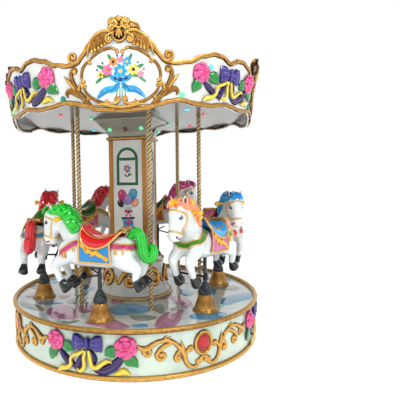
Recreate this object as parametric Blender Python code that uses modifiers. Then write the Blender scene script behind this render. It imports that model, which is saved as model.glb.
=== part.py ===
"""Six-seat fibreglass carousel: a fixed round drum, a turning deck with a centre column, twisted poles
and a carved crown, and six horses that rise and fall on rods through bell-shaped guides.

Metres, +Z up, origin at the centre of the drum's underside. The front of the machine faces -Y.
"""

import math

import bmesh
import bpy
from mathutils import Matrix, Vector

GAP = 0.0003  # between faces that touch
RUNNING_GAP = 0.007  # between the fixed drum and the turning deck
RING_SEGMENTS = 60
CROWN_SEGMENTS = 96

# Azimuths are counted from the front (-Y), positive towards +X.
DRUM_PHASE = -18.5
POLE_PHASE = 12.0
CROWN_PHASE = -4.0

DECK_RADIUS = 1.050  # middle of the gold bead round the deck
DECK_TOP = 0.333
BEAD_RADIUS = 0.018
BEAD_HEIGHT = DECK_TOP + 0.0105
DECK_EDGE = DECK_RADIUS - 0.0141  # the deck's edge meets the bead's inner facet

WALL_OUTER = 1.034
WALL_THICKNESS = 0.012
BASE_BEAD_HEIGHT = 0.036
BASE_BEAD_OUTER = 1.054
BASE_BEAD_INNER = 1.018
DECK_EDGE_BOTTOM = DECK_TOP - 0.0075
WALL_TOP = DECK_EDGE_BOTTOM - RUNNING_GAP
DECK_FRAME_BOTTOM = 0.300
HUB_BOTTOM = 0.260
HUB_RADIUS = 0.120
PEDESTAL_RADIUS = 0.100
BEAM_WIDTH = 0.060
BEAM_HEIGHT = 0.050

SEAT_COUNT = 6
HORSE_CIRCLE = 0.805
STROKE = 0.150
# How far each horse stands above the bottom of its stroke at rest, from the front seat on.
REST_LIFT = (0.000, 0.027, 0.040, 0.120, 0.092, 0.050)
# How far each horse stands turned on its rod, in degrees.
HORSE_TURN = (-2.0, 8.0, 0.0, 0.0, 0.0, -15.0)
# How far each horse is pitched nose up on its rod, in degrees.
HORSE_PITCH = (1.0, 3.5, 3.0, 5.0, 2.0, 6.0)
PITCH_HEIGHT = 0.450

BELL_HEIGHT = 0.128
BELL_TOP_RADIUS = 0.048
BOOT_HEIGHT = 0.088
ROD_RADIUS = 0.0145
ROD_BORE = 0.0155
ROD_BOTTOM = 0.250  # with the horse at the bottom of its stroke
SOCKET_DEPTH = 0.060

POLE_CIRCLE = 0.588
POLE_RADIUS = 0.018

FOOT_TOP = 0.625
FOOT_COLLAR_HEIGHT = 0.026
COLUMN_HALF = 0.163
COLUMN_TOP = 1.675
CORNICE_HALF = 0.186
CORNICE_HEIGHT = 0.030

CEILING_BOTTOM = 1.853
CEILING_THICKNESS = 0.020
CROWN_WALL = 0.012
CROWN_LIP = 0.014
CROWN_LIP_HEIGHT = 0.030
CROWN_BASE_RADIUS = 1.003  # at CROWN_BASE_Z, on the outer face
CROWN_BASE_Z = 1.827
CROWN_LEAN = 0.15  # outward per metre of height
CREST_TOP = 2.370
FINIAL_TOP = 2.735  # gold dome on a post that stands on the ceiling panel

# Height of the crown's edges by the angle from the middle of a pediment, in degrees.
CROWN_TOP_EDGE = (
    (0.0, 2.292), (4.0, 2.288), (8.0, 2.262), (11.0, 2.215), (13.0, 2.163), (16.0, 2.112),
    (20.0, 2.104), (25.0, 2.119), (31.0, 2.163), (36.0, 2.185), (40.0, 2.180), (45.0, 2.146),
)
CROWN_BOTTOM_EDGE = (
    (0.0, 1.777), (9.0, 1.788), (14.0, 1.816), (18.0, 1.835), (22.0, 1.845),
    (30.0, 1.826), (36.0, 1.822), (41.0, 1.834), (45.0, 1.843),
)

# The horse, in its own frame: forward of the rod, up from the deck with the horse at its lowest.
# Each point holds forward, up, half the depth across the path, half the width.
TRUNK = (
    (0.278, 0.505, 0.050, 0.045), (0.238, 0.505, 0.100, 0.085), (0.148, 0.505, 0.118, 0.105),
    (0.000, 0.494, 0.106, 0.116), (-0.120, 0.498, 0.108, 0.116), (-0.215, 0.515, 0.106, 0.105),
    (-0.275, 0.530, 0.060, 0.060),
)
NECK = (
    (0.170, 0.530, 0.100, 0.070), (0.225, 0.620, 0.090, 0.065), (0.272, 0.700, 0.078, 0.055),
    (0.312, 0.765, 0.068, 0.050), (0.345, 0.800, 0.040, 0.035),
)
HEAD = (
    (0.340, 0.800, 0.050, 0.045), (0.378, 0.730, 0.074, 0.056), (0.400, 0.660, 0.062, 0.050),
    (0.416, 0.600, 0.048, 0.042), (0.424, 0.562, 0.042, 0.040), (0.426, 0.540, 0.025, 0.025),
)
MANE = (
    (0.155, 0.645, 0.022, 0.030), (0.195, 0.715, 0.034, 0.045), (0.245, 0.782, 0.040, 0.056),
    (0.305, 0.805, 0.042, 0.060), (0.365, 0.795, 0.035, 0.050), (0.405, 0.785, 0.020, 0.030),
)
TAIL = (
    (-0.245, 0.605, 0.026, 0.028), (-0.282, 0.630, 0.031, 0.034), (-0.310, 0.600, 0.034, 0.038),
    (-0.326, 0.540, 0.036, 0.041), (-0.350, 0.495, 0.038, 0.042), (-0.390, 0.486, 0.036, 0.040),
    (-0.416, 0.514, 0.030, 0.032), (-0.420, 0.548, 0.018, 0.020),
)
SADDLE = (
    (0.106, 0.668, 0.015, 0.045), (0.069, 0.624, 0.024, 0.095), (0.004, 0.588, 0.026, 0.122),
    (-0.076, 0.586, 0.026, 0.124), (-0.136, 0.604, 0.024, 0.105), (-0.180, 0.632, 0.022, 0.070),
    (-0.216, 0.648, 0.020, 0.045),
)
FORE_LEG = (
    (0.200, 0.475, 0.070, 0.045), (0.275, 0.428, 0.050, 0.040), (0.318, 0.392, 0.037, 0.034),
    (0.300, 0.332, 0.028, 0.027), (0.270, 0.276, 0.026, 0.026), (0.244, 0.236, 0.038, 0.036),
    (0.226, 0.214, 0.030, 0.028),
)
HIND_LEG = (
    (-0.185, 0.480, 0.085, 0.045), (-0.250, 0.430, 0.060, 0.044), (-0.292, 0.398, 0.044, 0.038),
    (-0.300, 0.350, 0.031, 0.030), (-0.306, 0.320, 0.028, 0.028), (-0.320, 0.286, 0.038, 0.036),
    (-0.334, 0.260, 0.030, 0.028),
)
LEG_OFFSET = 0.066
LIMB_SIDES = 10
HORSE_VOXEL = 0.011
HORSE_TRIANGLES = 640
BELLY = 0.384
HANDLE_AT = (0.276, 0.728)
HANDLE_RADIUS = 0.010
HANDLE_HALF = 0.120
KNOB_RADIUS = 0.019
PEDAL_AT = (0.185, 0.285)  # forward and up, in the horse's frame
PEDAL_OUT = 0.118
FOOTREST_ROOT = 0.325
BRACE_END = (0.080, 0.372)

COLOURS = {
    "white_gelcoat": ((0.86, 0.88, 0.84), 0.25, 0.0),
    "gold_paint": ((0.62, 0.40, 0.14), 0.35, 0.4),
    "black_steel": ((0.02, 0.02, 0.02), 0.4, 0.6),
    "boot_rubber": ((0.10, 0.12, 0.14), 0.6, 0.0),
    "handle_paint": ((0.85, 0.62, 0.05), 0.3, 0.0),
    "deck_gelcoat": ((0.75, 0.80, 0.80), 0.15, 0.0),
    "ceiling_gelcoat": ((0.55, 0.56, 0.54), 0.2, 0.0),
}


def clear_scene():
    for obj in list(bpy.data.objects):
        bpy.data.objects.remove(obj, do_unlink=True)


def new_collection(name):
    collection = bpy.data.collections.new(name)
    bpy.context.scene.collection.children.link(collection)
    return collection


def make_material(name):
    colour, roughness, metallic = COLOURS[name]
    material = bpy.data.materials.new(name)
    material.use_nodes = True
    shader = material.node_tree.nodes["Principled BSDF"]
    shader.inputs["Base Color"].default_value = (*colour, 1.0)
    shader.inputs["Roughness"].default_value = roughness
    shader.inputs["Metallic"].default_value = metallic
    return material


def around(azimuth, radius, height=0.0):
    angle = math.radians(azimuth)
    return Vector((radius * math.sin(angle), -radius * math.cos(angle), height))


def turn_about_z(azimuth):
    return Matrix.Rotation(math.radians(azimuth), 4, "Z")


def put(name, mesh, material, collection, smooth=True):
    obj = bpy.data.objects.new(name, mesh)
    collection.objects.link(obj)
    if material is not None and not mesh.materials:
        mesh.materials.append(material)
    if smooth:
        mesh.shade_smooth()
        mesh.set_sharp_from_angle(angle=math.radians(35))
    return obj


def turned(name, profile, segments, material, collection, closed=False):
    """A turned shape: the profile's (radius, height) points run down the outer side."""
    mesh = bpy.data.meshes.new(name)
    edges = [(i, i + 1) for i in range(len(profile) - 1)]
    if closed:
        edges.append((len(profile) - 1, 0))
    mesh.from_pydata([(r, 0.0, z) for r, z in profile], edges, [])
    obj = bpy.data.objects.new(name, mesh)
    mesh.materials.append(material)
    collection.objects.link(obj)
    screw = obj.modifiers.new("Turn", "SCREW")
    screw.steps = segments
    screw.render_steps = segments
    screw.use_merge_vertices = True
    screw.merge_threshold = 0.0001
    screw.use_smooth_shade = True
    return obj


def bead_profile(radius, height, bead, sides):
    points = []
    for i in range(sides):
        angle = math.pi / 2 - 2 * math.pi * i / sides
        points.append((radius + bead * math.cos(angle), height + bead * math.sin(angle)))
    return points


def add_cylinder(mesh, start, end, radius, sides):
    """Adds a capped cylinder between two points to a bmesh."""
    start, end = Vector(start), Vector(end)
    axis = end - start
    place = Matrix.Translation((start + end) / 2) @ axis.to_track_quat("Z", "Y").to_matrix().to_4x4()
    bmesh.ops.create_cone(
        mesh, cap_ends=True, cap_tris=False, segments=sides,
        radius1=radius, radius2=radius, depth=axis.length, matrix=place,
    )


def mesh_from(name, build, triangulate=True):
    """Runs a function that fills a bmesh, and returns the mesh."""
    shape = bmesh.new()
    build(shape)
    if triangulate:
        bmesh.ops.triangulate(shape, faces=shape.faces)
    bmesh.ops.recalc_face_normals(shape, faces=shape.faces)
    mesh = bpy.data.meshes.new(name)
    shape.to_mesh(mesh)
    shape.free()
    return mesh


def cutter(name, build, collection):
    obj = bpy.data.objects.new(name, mesh_from(name, build))
    collection.objects.link(obj)
    obj.hide_render = True
    obj.display_type = "WIRE"
    return obj


def boolean(obj, operation, other):
    modifier = obj.modifiers.new(operation.title(), "BOOLEAN")
    modifier.operation = operation
    modifier.solver = "EXACT"
    modifier.object = other
    return modifier


def evaluated_mesh(obj, name):
    bpy.context.view_layer.update()
    graph = bpy.context.evaluated_depsgraph_get()
    mesh = bpy.data.meshes.new_from_object(obj.evaluated_get(graph))
    mesh.name = name
    return mesh


def smooth_height(points, angle):
    """Height at an angle, through (angle, height) points mirrored about both ends."""
    angle = abs((angle + 45.0) % 90.0 - 45.0)
    for (a, low), (b, high) in zip(points, points[1:]):
        if angle <= b:
            t = (angle - a) / (b - a)
            return low + (high - low) * t * t * (3 - 2 * t)
    return points[-1][1]


def crown_radius(height):
    return CROWN_BASE_RADIUS + (height - CROWN_BASE_Z) * CROWN_LEAN


def square_loft(shape, sections):
    """Stacks square sections, each (half side, height), into a closed body."""
    rings = []
    for half, height in sections:
        corners = ((half, half), (-half, half), (-half, -half), (half, -half))
        rings.append([shape.verts.new((x, y, height)) for x, y in corners])
    for low, high in zip(rings, rings[1:]):
        for i in range(4):
            shape.faces.new((low[i], low[(i + 1) % 4], high[(i + 1) % 4], high[i]))
    shape.faces.new(rings[0][::-1])
    shape.faces.new(rings[-1])


def add_limb(shape, points, side=0.0):
    """A tapering limb along points in the horse's side view: oval rings closed at both ends."""
    path = [Vector((x, side, z)) for x, z, _, _ in points]
    rings = []
    for i, (_, _, depth, width) in enumerate(points):
        ahead = path[min(i + 1, len(path) - 1)] - path[max(i - 1, 0)]
        ahead.normalize()
        across = Vector((-ahead.z, 0.0, ahead.x))
        ring = []
        for k in range(LIMB_SIDES):
            angle = 2 * math.pi * k / LIMB_SIDES
            offset = across * (depth * math.cos(angle)) + Vector((0, width * math.sin(angle), 0))
            ring.append(shape.verts.new(path[i] + offset))
        rings.append(ring)
    for low, high in zip(rings, rings[1:]):
        for k in range(LIMB_SIDES):
            following = (k + 1) % LIMB_SIDES
            shape.faces.new((low[k], low[following], high[following], high[k]))
    shape.faces.new(rings[0][::-1])
    shape.faces.new(rings[-1])


def build_base(material, parts, cutters):
    """The fixed drum: steel cross frame with the bearing pedestal, base bead and fibreglass wall."""
    beam_half = BASE_BEAD_INNER - 0.002

    def frame(shape):
        square = bmesh.ops.create_cube(shape, size=1.0)["verts"]
        bmesh.ops.scale(shape, vec=(2 * beam_half, BEAM_WIDTH, BEAM_HEIGHT), verts=square)
        bmesh.ops.translate(shape, vec=(0, 0, BEAM_HEIGHT / 2), verts=square)

    steel = material["black_steel"]
    base = put("base_frame", mesh_from("base_frame", frame), steel, parts, smooth=False)

    def cross(shape):
        square = bmesh.ops.create_cube(shape, size=1.0)["verts"]
        bmesh.ops.scale(shape, vec=(BEAM_WIDTH, 2 * beam_half, BEAM_HEIGHT), verts=square)
        bmesh.ops.translate(shape, vec=(0, 0, BEAM_HEIGHT / 2), verts=square)

    def pedestal(shape):
        add_cylinder(shape, (0, 0, 0), (0, 0, HUB_BOTTOM - GAP), PEDESTAL_RADIUS, 24)

    boolean(base, "UNION", cutter("cross_beam", cross, cutters))
    boolean(base, "UNION", cutter("pedestal", pedestal, cutters))

    half_bead = BASE_BEAD_HEIGHT / 2
    centre = BASE_BEAD_OUTER - half_bead
    profile = [(BASE_BEAD_INNER, BASE_BEAD_HEIGHT)]
    for i in range(6):
        angle = math.pi / 2 - math.pi * i / 5
        profile.append((centre + half_bead * math.cos(angle), half_bead + half_bead * math.sin(angle)))
    profile.append((BASE_BEAD_INNER, 0.0))
    turned("drum_bottom_bead", profile, RING_SEGMENTS, material["gold_paint"], parts, closed=True)

    bottom = BASE_BEAD_HEIGHT + GAP
    inner = WALL_OUTER - WALL_THICKNESS
    wall = [(inner, WALL_TOP), (WALL_OUTER, WALL_TOP), (WALL_OUTER, bottom), (inner, bottom)]
    skirt = turned("drum_skirt", wall, RING_SEGMENTS, material["white_gelcoat"], parts, closed=True)
    boolean(skirt, "UNION", cutter("drum_reliefs", drum_reliefs, cutters))


def relief(shape, azimuth, radius, height, size, subdivisions=1):
    """A rounded boss on a round wall: size is half the width, depth and height."""
    ball = bmesh.ops.create_icosphere(shape, subdivisions=subdivisions, radius=1.0)["verts"]
    bmesh.ops.scale(shape, vec=size, verts=ball)
    place = Matrix.Translation(around(azimuth, radius, height)) @ turn_about_z(azimuth)
    bmesh.ops.transform(shape, matrix=place, verts=ball)


def drum_reliefs(shape):
    """Roses, bows and oval jewels, as plain bosses that meet the wall."""
    for quarter in range(4):
        bow = DRUM_PHASE + 90.0 * quarter
        for side in (-1, 1):
            relief(shape, bow + side * 14.5, WALL_OUTER, 0.232, (0.070, 0.022, 0.068))
            relief(shape, bow + side * 3.4, WALL_OUTER, 0.272, (0.056, 0.020, 0.044))
        relief(shape, bow + 45.0, WALL_OUTER, 0.214, (0.076, 0.020, 0.091))


def build_deck(material, parts, cutters):
    profile = [
        (0.0, DECK_TOP), (DECK_EDGE, DECK_TOP), (DECK_EDGE, DECK_EDGE_BOTTOM),
        (0.985, DECK_EDGE_BOTTOM), (0.975, DECK_FRAME_BOTTOM), (HUB_RADIUS + 0.02, DECK_FRAME_BOTTOM),
        (HUB_RADIUS, HUB_BOTTOM), (0.0, HUB_BOTTOM),
    ]
    deck = turned("deck", profile, RING_SEGMENTS, material["deck_gelcoat"], parts)

    def rod_holes(shape):
        for seat in range(SEAT_COUNT):
            place = around(DRUM_PHASE + 60.0 * seat, HORSE_CIRCLE)
            low = place + Vector((0, 0, DECK_FRAME_BOTTOM - 0.02))
            high = place + Vector((0, 0, DECK_TOP + 0.02))
            add_cylinder(shape, low, high, ROD_RADIUS + 0.006, 12)

    boolean(deck, "DIFFERENCE", cutter("rod_holes", rod_holes, cutters))
    bead = bead_profile(DECK_RADIUS, BEAD_HEIGHT, BEAD_RADIUS, 8)
    turned("deck_rim_bead", bead, RING_SEGMENTS, material["gold_paint"], parts, closed=True)


def build_column(material, parts):
    low = DECK_TOP + GAP
    foot = [
        (0.0, FOOT_TOP), (0.255, FOOT_TOP), (0.262, 0.580), (0.270, 0.525), (0.281, 0.460),
        (0.296, 0.405), (0.318, 0.363), (0.318, low), (0.0, low),
    ]
    turned("column_foot", foot, 36, material["white_gelcoat"], parts)
    ring = [
        (0.3185 + GAP, low + 0.028), (0.330, low + 0.026), (0.338, low + 0.014),
        (0.338, low), (0.3185 + GAP, low),
    ]
    turned("foot_ring", ring, 36, material["gold_paint"], parts, closed=True)
    collar_low = FOOT_TOP + GAP
    collar_top = FOOT_TOP + FOOT_COLLAR_HEIGHT
    collar = [
        (0.0, collar_top), (0.254, collar_top), (0.264, (collar_low + collar_top) / 2),
        (0.254, collar_low), (0.0, collar_low),
    ]
    turned("foot_collar", collar, 36, material["gold_paint"], parts)

    def place(obj):
        obj.rotation_euler[2] = math.radians(DRUM_PHASE)

    shaft = [(COLUMN_HALF, collar_top + GAP), (COLUMN_HALF, COLUMN_TOP)]
    place(put(
        "column_shaft", mesh_from("column_shaft", lambda shape: square_loft(shape, shaft)),
        material["white_gelcoat"], parts, smooth=False,
    ))
    cornice_top = COLUMN_TOP + CORNICE_HEIGHT
    cornice = [
        (COLUMN_HALF + 0.006, COLUMN_TOP + GAP), (CORNICE_HALF, COLUMN_TOP + 0.010),
        (CORNICE_HALF, COLUMN_TOP + 0.022), (COLUMN_HALF + 0.010, cornice_top),
    ]
    place(put(
        "column_cornice", mesh_from("column_cornice", lambda shape: square_loft(shape, cornice)),
        material["gold_paint"], parts, smooth=False,
    ))
    capital = [
        (0.168, cornice_top + GAP), (0.176, 1.730), (0.190, 1.758), (0.205, 1.775),
        (0.246, 1.826), (0.250, 1.834), (0.262, 1.836), (0.268, CEILING_BOTTOM - GAP),
    ]
    place(put(
        "capital", mesh_from("capital", lambda shape: square_loft(shape, capital)),
        material["white_gelcoat"], parts, smooth=False,
    ))


def build_crown(material, parts, cutters):
    edge = crown_radius(CEILING_BOTTOM) - CROWN_WALL - GAP
    ceiling = [
        (0.0, CEILING_BOTTOM + CEILING_THICKNESS), (edge, CEILING_BOTTOM + CEILING_THICKNESS),
        (edge, CEILING_BOTTOM), (0.0, CEILING_BOTTOM),
    ]
    turned("canopy_ceiling", ceiling, CROWN_SEGMENTS, material["ceiling_gelcoat"], parts)

    def wall(shape):
        columns = []
        for i in range(CROWN_SEGMENTS):
            turn = 360.0 * i / CROWN_SEGMENTS
            low = smooth_height(CROWN_BOTTOM_EDGE, turn - CROWN_PHASE - 90.0)
            top = smooth_height(CROWN_TOP_EDGE, turn - CROWN_PHASE - 90.0)
            section = (
                (-CROWN_WALL, low), (CROWN_LIP, low), (CROWN_LIP, low + CROWN_LIP_HEIGHT),
                (0.0, low + CROWN_LIP_HEIGHT + 0.004), (0.0, top - CROWN_LIP_HEIGHT - 0.004),
                (CROWN_LIP, top - CROWN_LIP_HEIGHT), (CROWN_LIP, top), (-CROWN_WALL, top),
            )
            angle = math.radians(turn)
            column = []
            for offset, height in section:
                radius = crown_radius(height) + offset
                spot = (radius * math.cos(angle), radius * math.sin(angle), height)
                column.append(shape.verts.new(spot))
            columns.append(column)
        for here, following in zip(columns, columns[1:] + columns[:1]):
            count = len(here)
            for k in range(count):
                up = (k + 1) % count
                shape.faces.new((here[k], following[k], following[up], here[up]))

    crown = put("canopy_crown", mesh_from("canopy_crown", wall), material["white_gelcoat"], parts)
    boolean(crown, "UNION", cutter("crown_reliefs", crown_reliefs, cutters))


def crown_reliefs(shape):
    """Crests, roses and bows, as plain bosses that meet the crown's wall."""
    for quarter in range(4):
        middle = CROWN_PHASE + 90.0 * quarter
        top = CREST_TOP - 0.065
        relief(shape, middle, crown_radius(top) + 0.004, top, (0.075, 0.034, 0.065))
        for side in (-1, 1):
            relief(shape, middle + side * 29.0, crown_radius(2.05), 2.050, (0.060, 0.026, 0.064))
            relief(shape, middle + side * 42.0, crown_radius(2.05), 2.060, (0.052, 0.022, 0.055))


def build_finial(material, parts):
    """A turned post and dome over the middle of the canopy; only the dome shows past the crest."""
    low = CEILING_BOTTOM + CEILING_THICKNESS + GAP
    profile = [
        (0.0, FINIAL_TOP), (0.036, FINIAL_TOP - 0.009), (0.063, FINIAL_TOP - 0.031),
        (0.077, FINIAL_TOP - 0.060), (0.084, FINIAL_TOP - 0.070), (0.084, FINIAL_TOP - 0.084),
        (0.060, FINIAL_TOP - 0.100), (0.040, FINIAL_TOP - 0.135), (0.036, low + 0.070),
        (0.052, low + 0.040), (0.110, low + 0.020), (0.110, low), (0.0, low),
    ]
    turned("canopy_finial", profile, 24, material["gold_paint"], parts)


def build_poles(material, parts):
    for index in range(SEAT_COUNT):
        place = around(POLE_PHASE + 60.0 * index, POLE_CIRCLE)

        def pole(shape):
            low = Vector((0, 0, DECK_TOP + GAP))
            high = Vector((0, 0, CEILING_BOTTOM - GAP))
            add_cylinder(shape, low, high, POLE_RADIUS, 12)

        obj = put(f"pole_{index + 1}", mesh_from("pole", pole), material["gold_paint"], parts)
        obj.location = place


def pitched(x, z, pitch):
    """A point of the horse's side view after the horse is pitched nose up."""
    angle = math.radians(pitch)
    above = z - PITCH_HEIGHT
    forward = x * math.cos(angle) - above * math.sin(angle)
    return forward, PITCH_HEIGHT + x * math.sin(angle) + above * math.cos(angle)


def horse_skin(cutters):
    """The horse as one moulding: joined limbs, remeshed to one skin."""

    def limbs(shape):
        for points in (TRUNK, NECK, HEAD, MANE, TAIL, SADDLE):
            add_limb(shape, points)
        for side in (-LEG_OFFSET, LEG_OFFSET):
            add_limb(shape, FORE_LEG, side)
            add_limb(shape, HIND_LEG, side)

    body = cutter("horse_limbs", limbs, cutters)
    remesh = body.modifiers.new("Skin", "REMESH")
    remesh.mode = "VOXEL"
    remesh.voxel_size = HORSE_VOXEL
    fine = evaluated_mesh(body, "horse_fine_skin")
    skin_faces = 2 * len(fine.polygons)
    thinner = body.modifiers.new("Thin", "DECIMATE")
    thinner.ratio = HORSE_TRIANGLES / skin_faces
    skin = evaluated_mesh(body, "horse_skin")
    bpy.data.meshes.remove(fine)
    return skin


def horse_mesh(skin, pitch, material, cutters):
    """The horse pitched on its rod, with its upright rod socket and its handle bore."""
    body = bpy.data.objects.new("horse_body", skin.copy())
    cutters.objects.link(body)
    body.hide_render = True
    pivot = Matrix.Translation((0, 0, PITCH_HEIGHT))
    turn = Matrix.Rotation(-math.radians(pitch), 4, "Y")
    body.data.transform(pivot @ turn @ pivot.inverted())

    def socket(shape):
        low = (0, 0, BELLY - 0.03)
        high = (0, 0, BELLY + SOCKET_DEPTH)
        add_cylinder(shape, low, high, ROD_RADIUS + GAP * 1.5, 12)

    def bore(shape):
        x, z = pitched(*HANDLE_AT, pitch)
        add_cylinder(shape, (x, -0.2, z), (x, 0.2, z), HANDLE_RADIUS + GAP * 1.5, 10)

    boolean(body, "DIFFERENCE", cutter("rod_socket", socket, cutters))
    boolean(body, "DIFFERENCE", cutter("handle_bore", bore, cutters))
    mesh = evaluated_mesh(body, "horse")
    mesh.materials.append(material["white_gelcoat"])
    mesh.shade_smooth()
    return mesh


def rod_mesh(material, cutters):
    """The drive rod with its footrest: forward bar, brace under the belly, cross bar and two pedals."""
    forward, up = PEDAL_AT

    def rod(shape):
        low = (0, 0, ROD_BOTTOM - DECK_TOP)
        add_cylinder(shape, low, (0, 0, BELLY + SOCKET_DEPTH - 0.001), ROD_RADIUS, 12)

    def bars(shape):
        add_cylinder(shape, (0.002, 0, FOOTREST_ROOT), (forward, 0, up), 0.007, 6)

    def brace(shape):
        x, z = BRACE_END
        add_cylinder(shape, (0.001, 0, FOOTREST_ROOT + 0.008), (x, 0, z), 0.006, 6)

    def cross_bar(shape):
        add_cylinder(shape, (forward, -PEDAL_OUT, up), (forward, PEDAL_OUT, up), 0.008, 8)

    def pedals(shape):
        for side in (-PEDAL_OUT, PEDAL_OUT):
            ball = bmesh.ops.create_icosphere(shape, subdivisions=1, radius=1.0)["verts"]
            bmesh.ops.scale(shape, vec=(0.026, 0.020, 0.036), verts=ball)
            bmesh.ops.translate(shape, vec=(forward, side, up), verts=ball)

    whole = cutter("rod_body", rod, cutters)
    for name, build in (("forward_bar", bars), ("brace", brace), ("cross_bar", cross_bar), ("pedals", pedals)):
        boolean(whole, "UNION", cutter(name, build, cutters))
    mesh = evaluated_mesh(whole, "rod")
    mesh.materials.append(material["black_steel"])
    return mesh


def handle_mesh(pitch, material, cutters):
    """The hand bar with a knob at each end, across the neck of the pitched horse."""
    x, z = pitched(*HANDLE_AT, pitch)

    def bar(shape):
        add_cylinder(shape, (x, -HANDLE_HALF, z), (x, HANDLE_HALF, z), HANDLE_RADIUS, 10)

    def knobs(shape):
        for side in (-HANDLE_HALF, HANDLE_HALF):
            ball = bmesh.ops.create_icosphere(shape, subdivisions=1, radius=KNOB_RADIUS)["verts"]
            bmesh.ops.translate(shape, vec=(x, side, z), verts=ball)

    whole = cutter("handle_bar", bar, cutters)
    boolean(whole, "UNION", cutter("knobs", knobs, cutters))
    mesh = evaluated_mesh(whole, "handle")
    mesh.materials.append(material["handle_paint"])
    return mesh


def build_seats(material, parts, cutters):
    """Six horses, each with its rod and handle above the bell and boot that guide the rod."""
    skin = horse_skin(cutters)
    rod = rod_mesh(material, cutters)
    for seat in range(SEAT_COUNT):
        azimuth = DRUM_PHASE + 60.0 * seat
        spot = around(azimuth, HORSE_CIRCLE)
        seat_frame = bpy.data.objects.new(f"seat_frame_{seat + 1}", None)
        parts.objects.link(seat_frame)
        seat_frame.location = spot + Vector((0, 0, DECK_TOP + REST_LIFT[seat]))
        # The horse's +X is its heading: clockwise round the machine, seen from above.
        seat_frame.rotation_euler[2] = math.radians(azimuth + 180.0 + HORSE_TURN[seat])
        horse = horse_mesh(skin, HORSE_PITCH[seat], material, cutters)
        handle = handle_mesh(HORSE_PITCH[seat], material, cutters)
        for name, mesh in (("horse", horse), ("rod", rod), ("handle", handle)):
            obj = bpy.data.objects.new(f"{name}_{seat + 1}", mesh)
            parts.objects.link(obj)
            obj.parent = seat_frame

        low = DECK_TOP + GAP
        bell = [
            (ROD_BORE, low + BELL_HEIGHT), (BELL_TOP_RADIUS, low + BELL_HEIGHT),
            (0.062, low + 0.095), (0.078, low + 0.030), (0.098, low + 0.010),
            (0.098, low), (ROD_BORE, low),
        ]
        turned(f"bell_{seat + 1}", bell, 12, material["gold_paint"], parts, closed=True).location = spot
        base = low + BELL_HEIGHT + GAP
        boot = [
            (ROD_BORE, base + BOOT_HEIGHT), (0.021, base + BOOT_HEIGHT), (0.030, base + 0.045),
            (0.045, base), (ROD_BORE, base),
        ]
        turned(f"boot_{seat + 1}", boot, 12, material["boot_rubber"], parts, closed=True).location = spot


def main():
    clear_scene()
    parts = new_collection("carousel")
    cutters = new_collection("cutters")
    material = {name: make_material(name) for name in COLOURS}
    build_base(material, parts, cutters)
    build_deck(material, parts, cutters)
    build_column(material, parts)
    build_crown(material, parts, cutters)
    build_finial(material, parts)
    build_poles(material, parts)
    build_seats(material, parts, cutters)


main()
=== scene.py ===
import math

import bpy
import numpy as np
from mathutils import Matrix, Vector
from mathutils.bvhtree import BVHTree


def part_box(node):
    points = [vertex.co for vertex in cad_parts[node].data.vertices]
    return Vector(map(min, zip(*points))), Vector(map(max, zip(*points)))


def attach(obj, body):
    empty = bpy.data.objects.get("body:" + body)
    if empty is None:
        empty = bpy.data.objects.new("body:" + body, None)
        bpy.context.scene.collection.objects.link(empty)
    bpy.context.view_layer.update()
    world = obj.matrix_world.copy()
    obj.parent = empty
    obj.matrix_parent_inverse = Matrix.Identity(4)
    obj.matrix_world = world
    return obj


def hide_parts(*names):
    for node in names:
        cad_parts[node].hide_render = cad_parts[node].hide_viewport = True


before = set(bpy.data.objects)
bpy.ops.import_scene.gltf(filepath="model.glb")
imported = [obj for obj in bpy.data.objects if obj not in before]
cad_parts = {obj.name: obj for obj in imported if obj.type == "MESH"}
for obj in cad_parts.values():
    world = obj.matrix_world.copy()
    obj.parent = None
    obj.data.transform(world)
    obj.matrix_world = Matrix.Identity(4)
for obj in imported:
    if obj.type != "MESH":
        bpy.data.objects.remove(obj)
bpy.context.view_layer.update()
print("frame loaded:", len(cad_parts), "nodes")

machine = {  # azimuths in degrees from the front, positive to its right; lengths in metres
    "drumPhase": -18.5,
    "polePhase": 12.0,
    "crownPhase": -4.0,
    "seats": 6,
    "quarters": 4,  # a pediment or a jewel in each, and a garland between them
    "betweenQuarters": 45,
    "horseCircle": 0.805,
    "poleCircle": 0.588,
    "deckTop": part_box("deck")[1].z,
    "ceilingBottom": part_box("canopy_ceiling")[0].z,
    "horseLift": (0.000, 0.027, 0.040, 0.120, 0.092, 0.050),
    "horseTurn": (-2.0, 8.0, 0.0, 0.0, 0.0, -15.0),
    "horsePitch": (1.0, 3.5, 3.0, 5.0, 2.0, 6.0),
    "pitchHeight": 0.450,
}


def around(azimuth, radius, height=0.0):
    angle = math.radians(azimuth)
    return Vector((radius * math.sin(angle), -radius * math.cos(angle), height))


def toLinear(hexColour):  # sRGB hex to the linear values that a socket holds
    parts = [int(hexColour[i:i + 2], 16) / 255 for i in (0, 2, 4)]
    return (*[c / 12.92 if c <= 0.04045 else ((c + 0.055) / 1.055) ** 2.4 for c in parts], 1.0)


def addNode(tree, kind, links=None, **settings):  # one node, its settings, and its inputs as values or sockets
    node = tree.nodes.new(kind)
    for key, value in settings.items():
        setattr(node, key, value)
    for key, value in (links or {}).items():
        if isinstance(value, bpy.types.NodeSocket):
            tree.links.new(value, node.inputs[key])
        else:
            node.inputs[key].default_value = value
    return node


# Forms: closed lofts gathered into one mesh. Each point has a shading value, 0 in the hollows to 1 on the crests, from
# which the materials paint shade into the hollows and highlights onto the crests.


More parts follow.
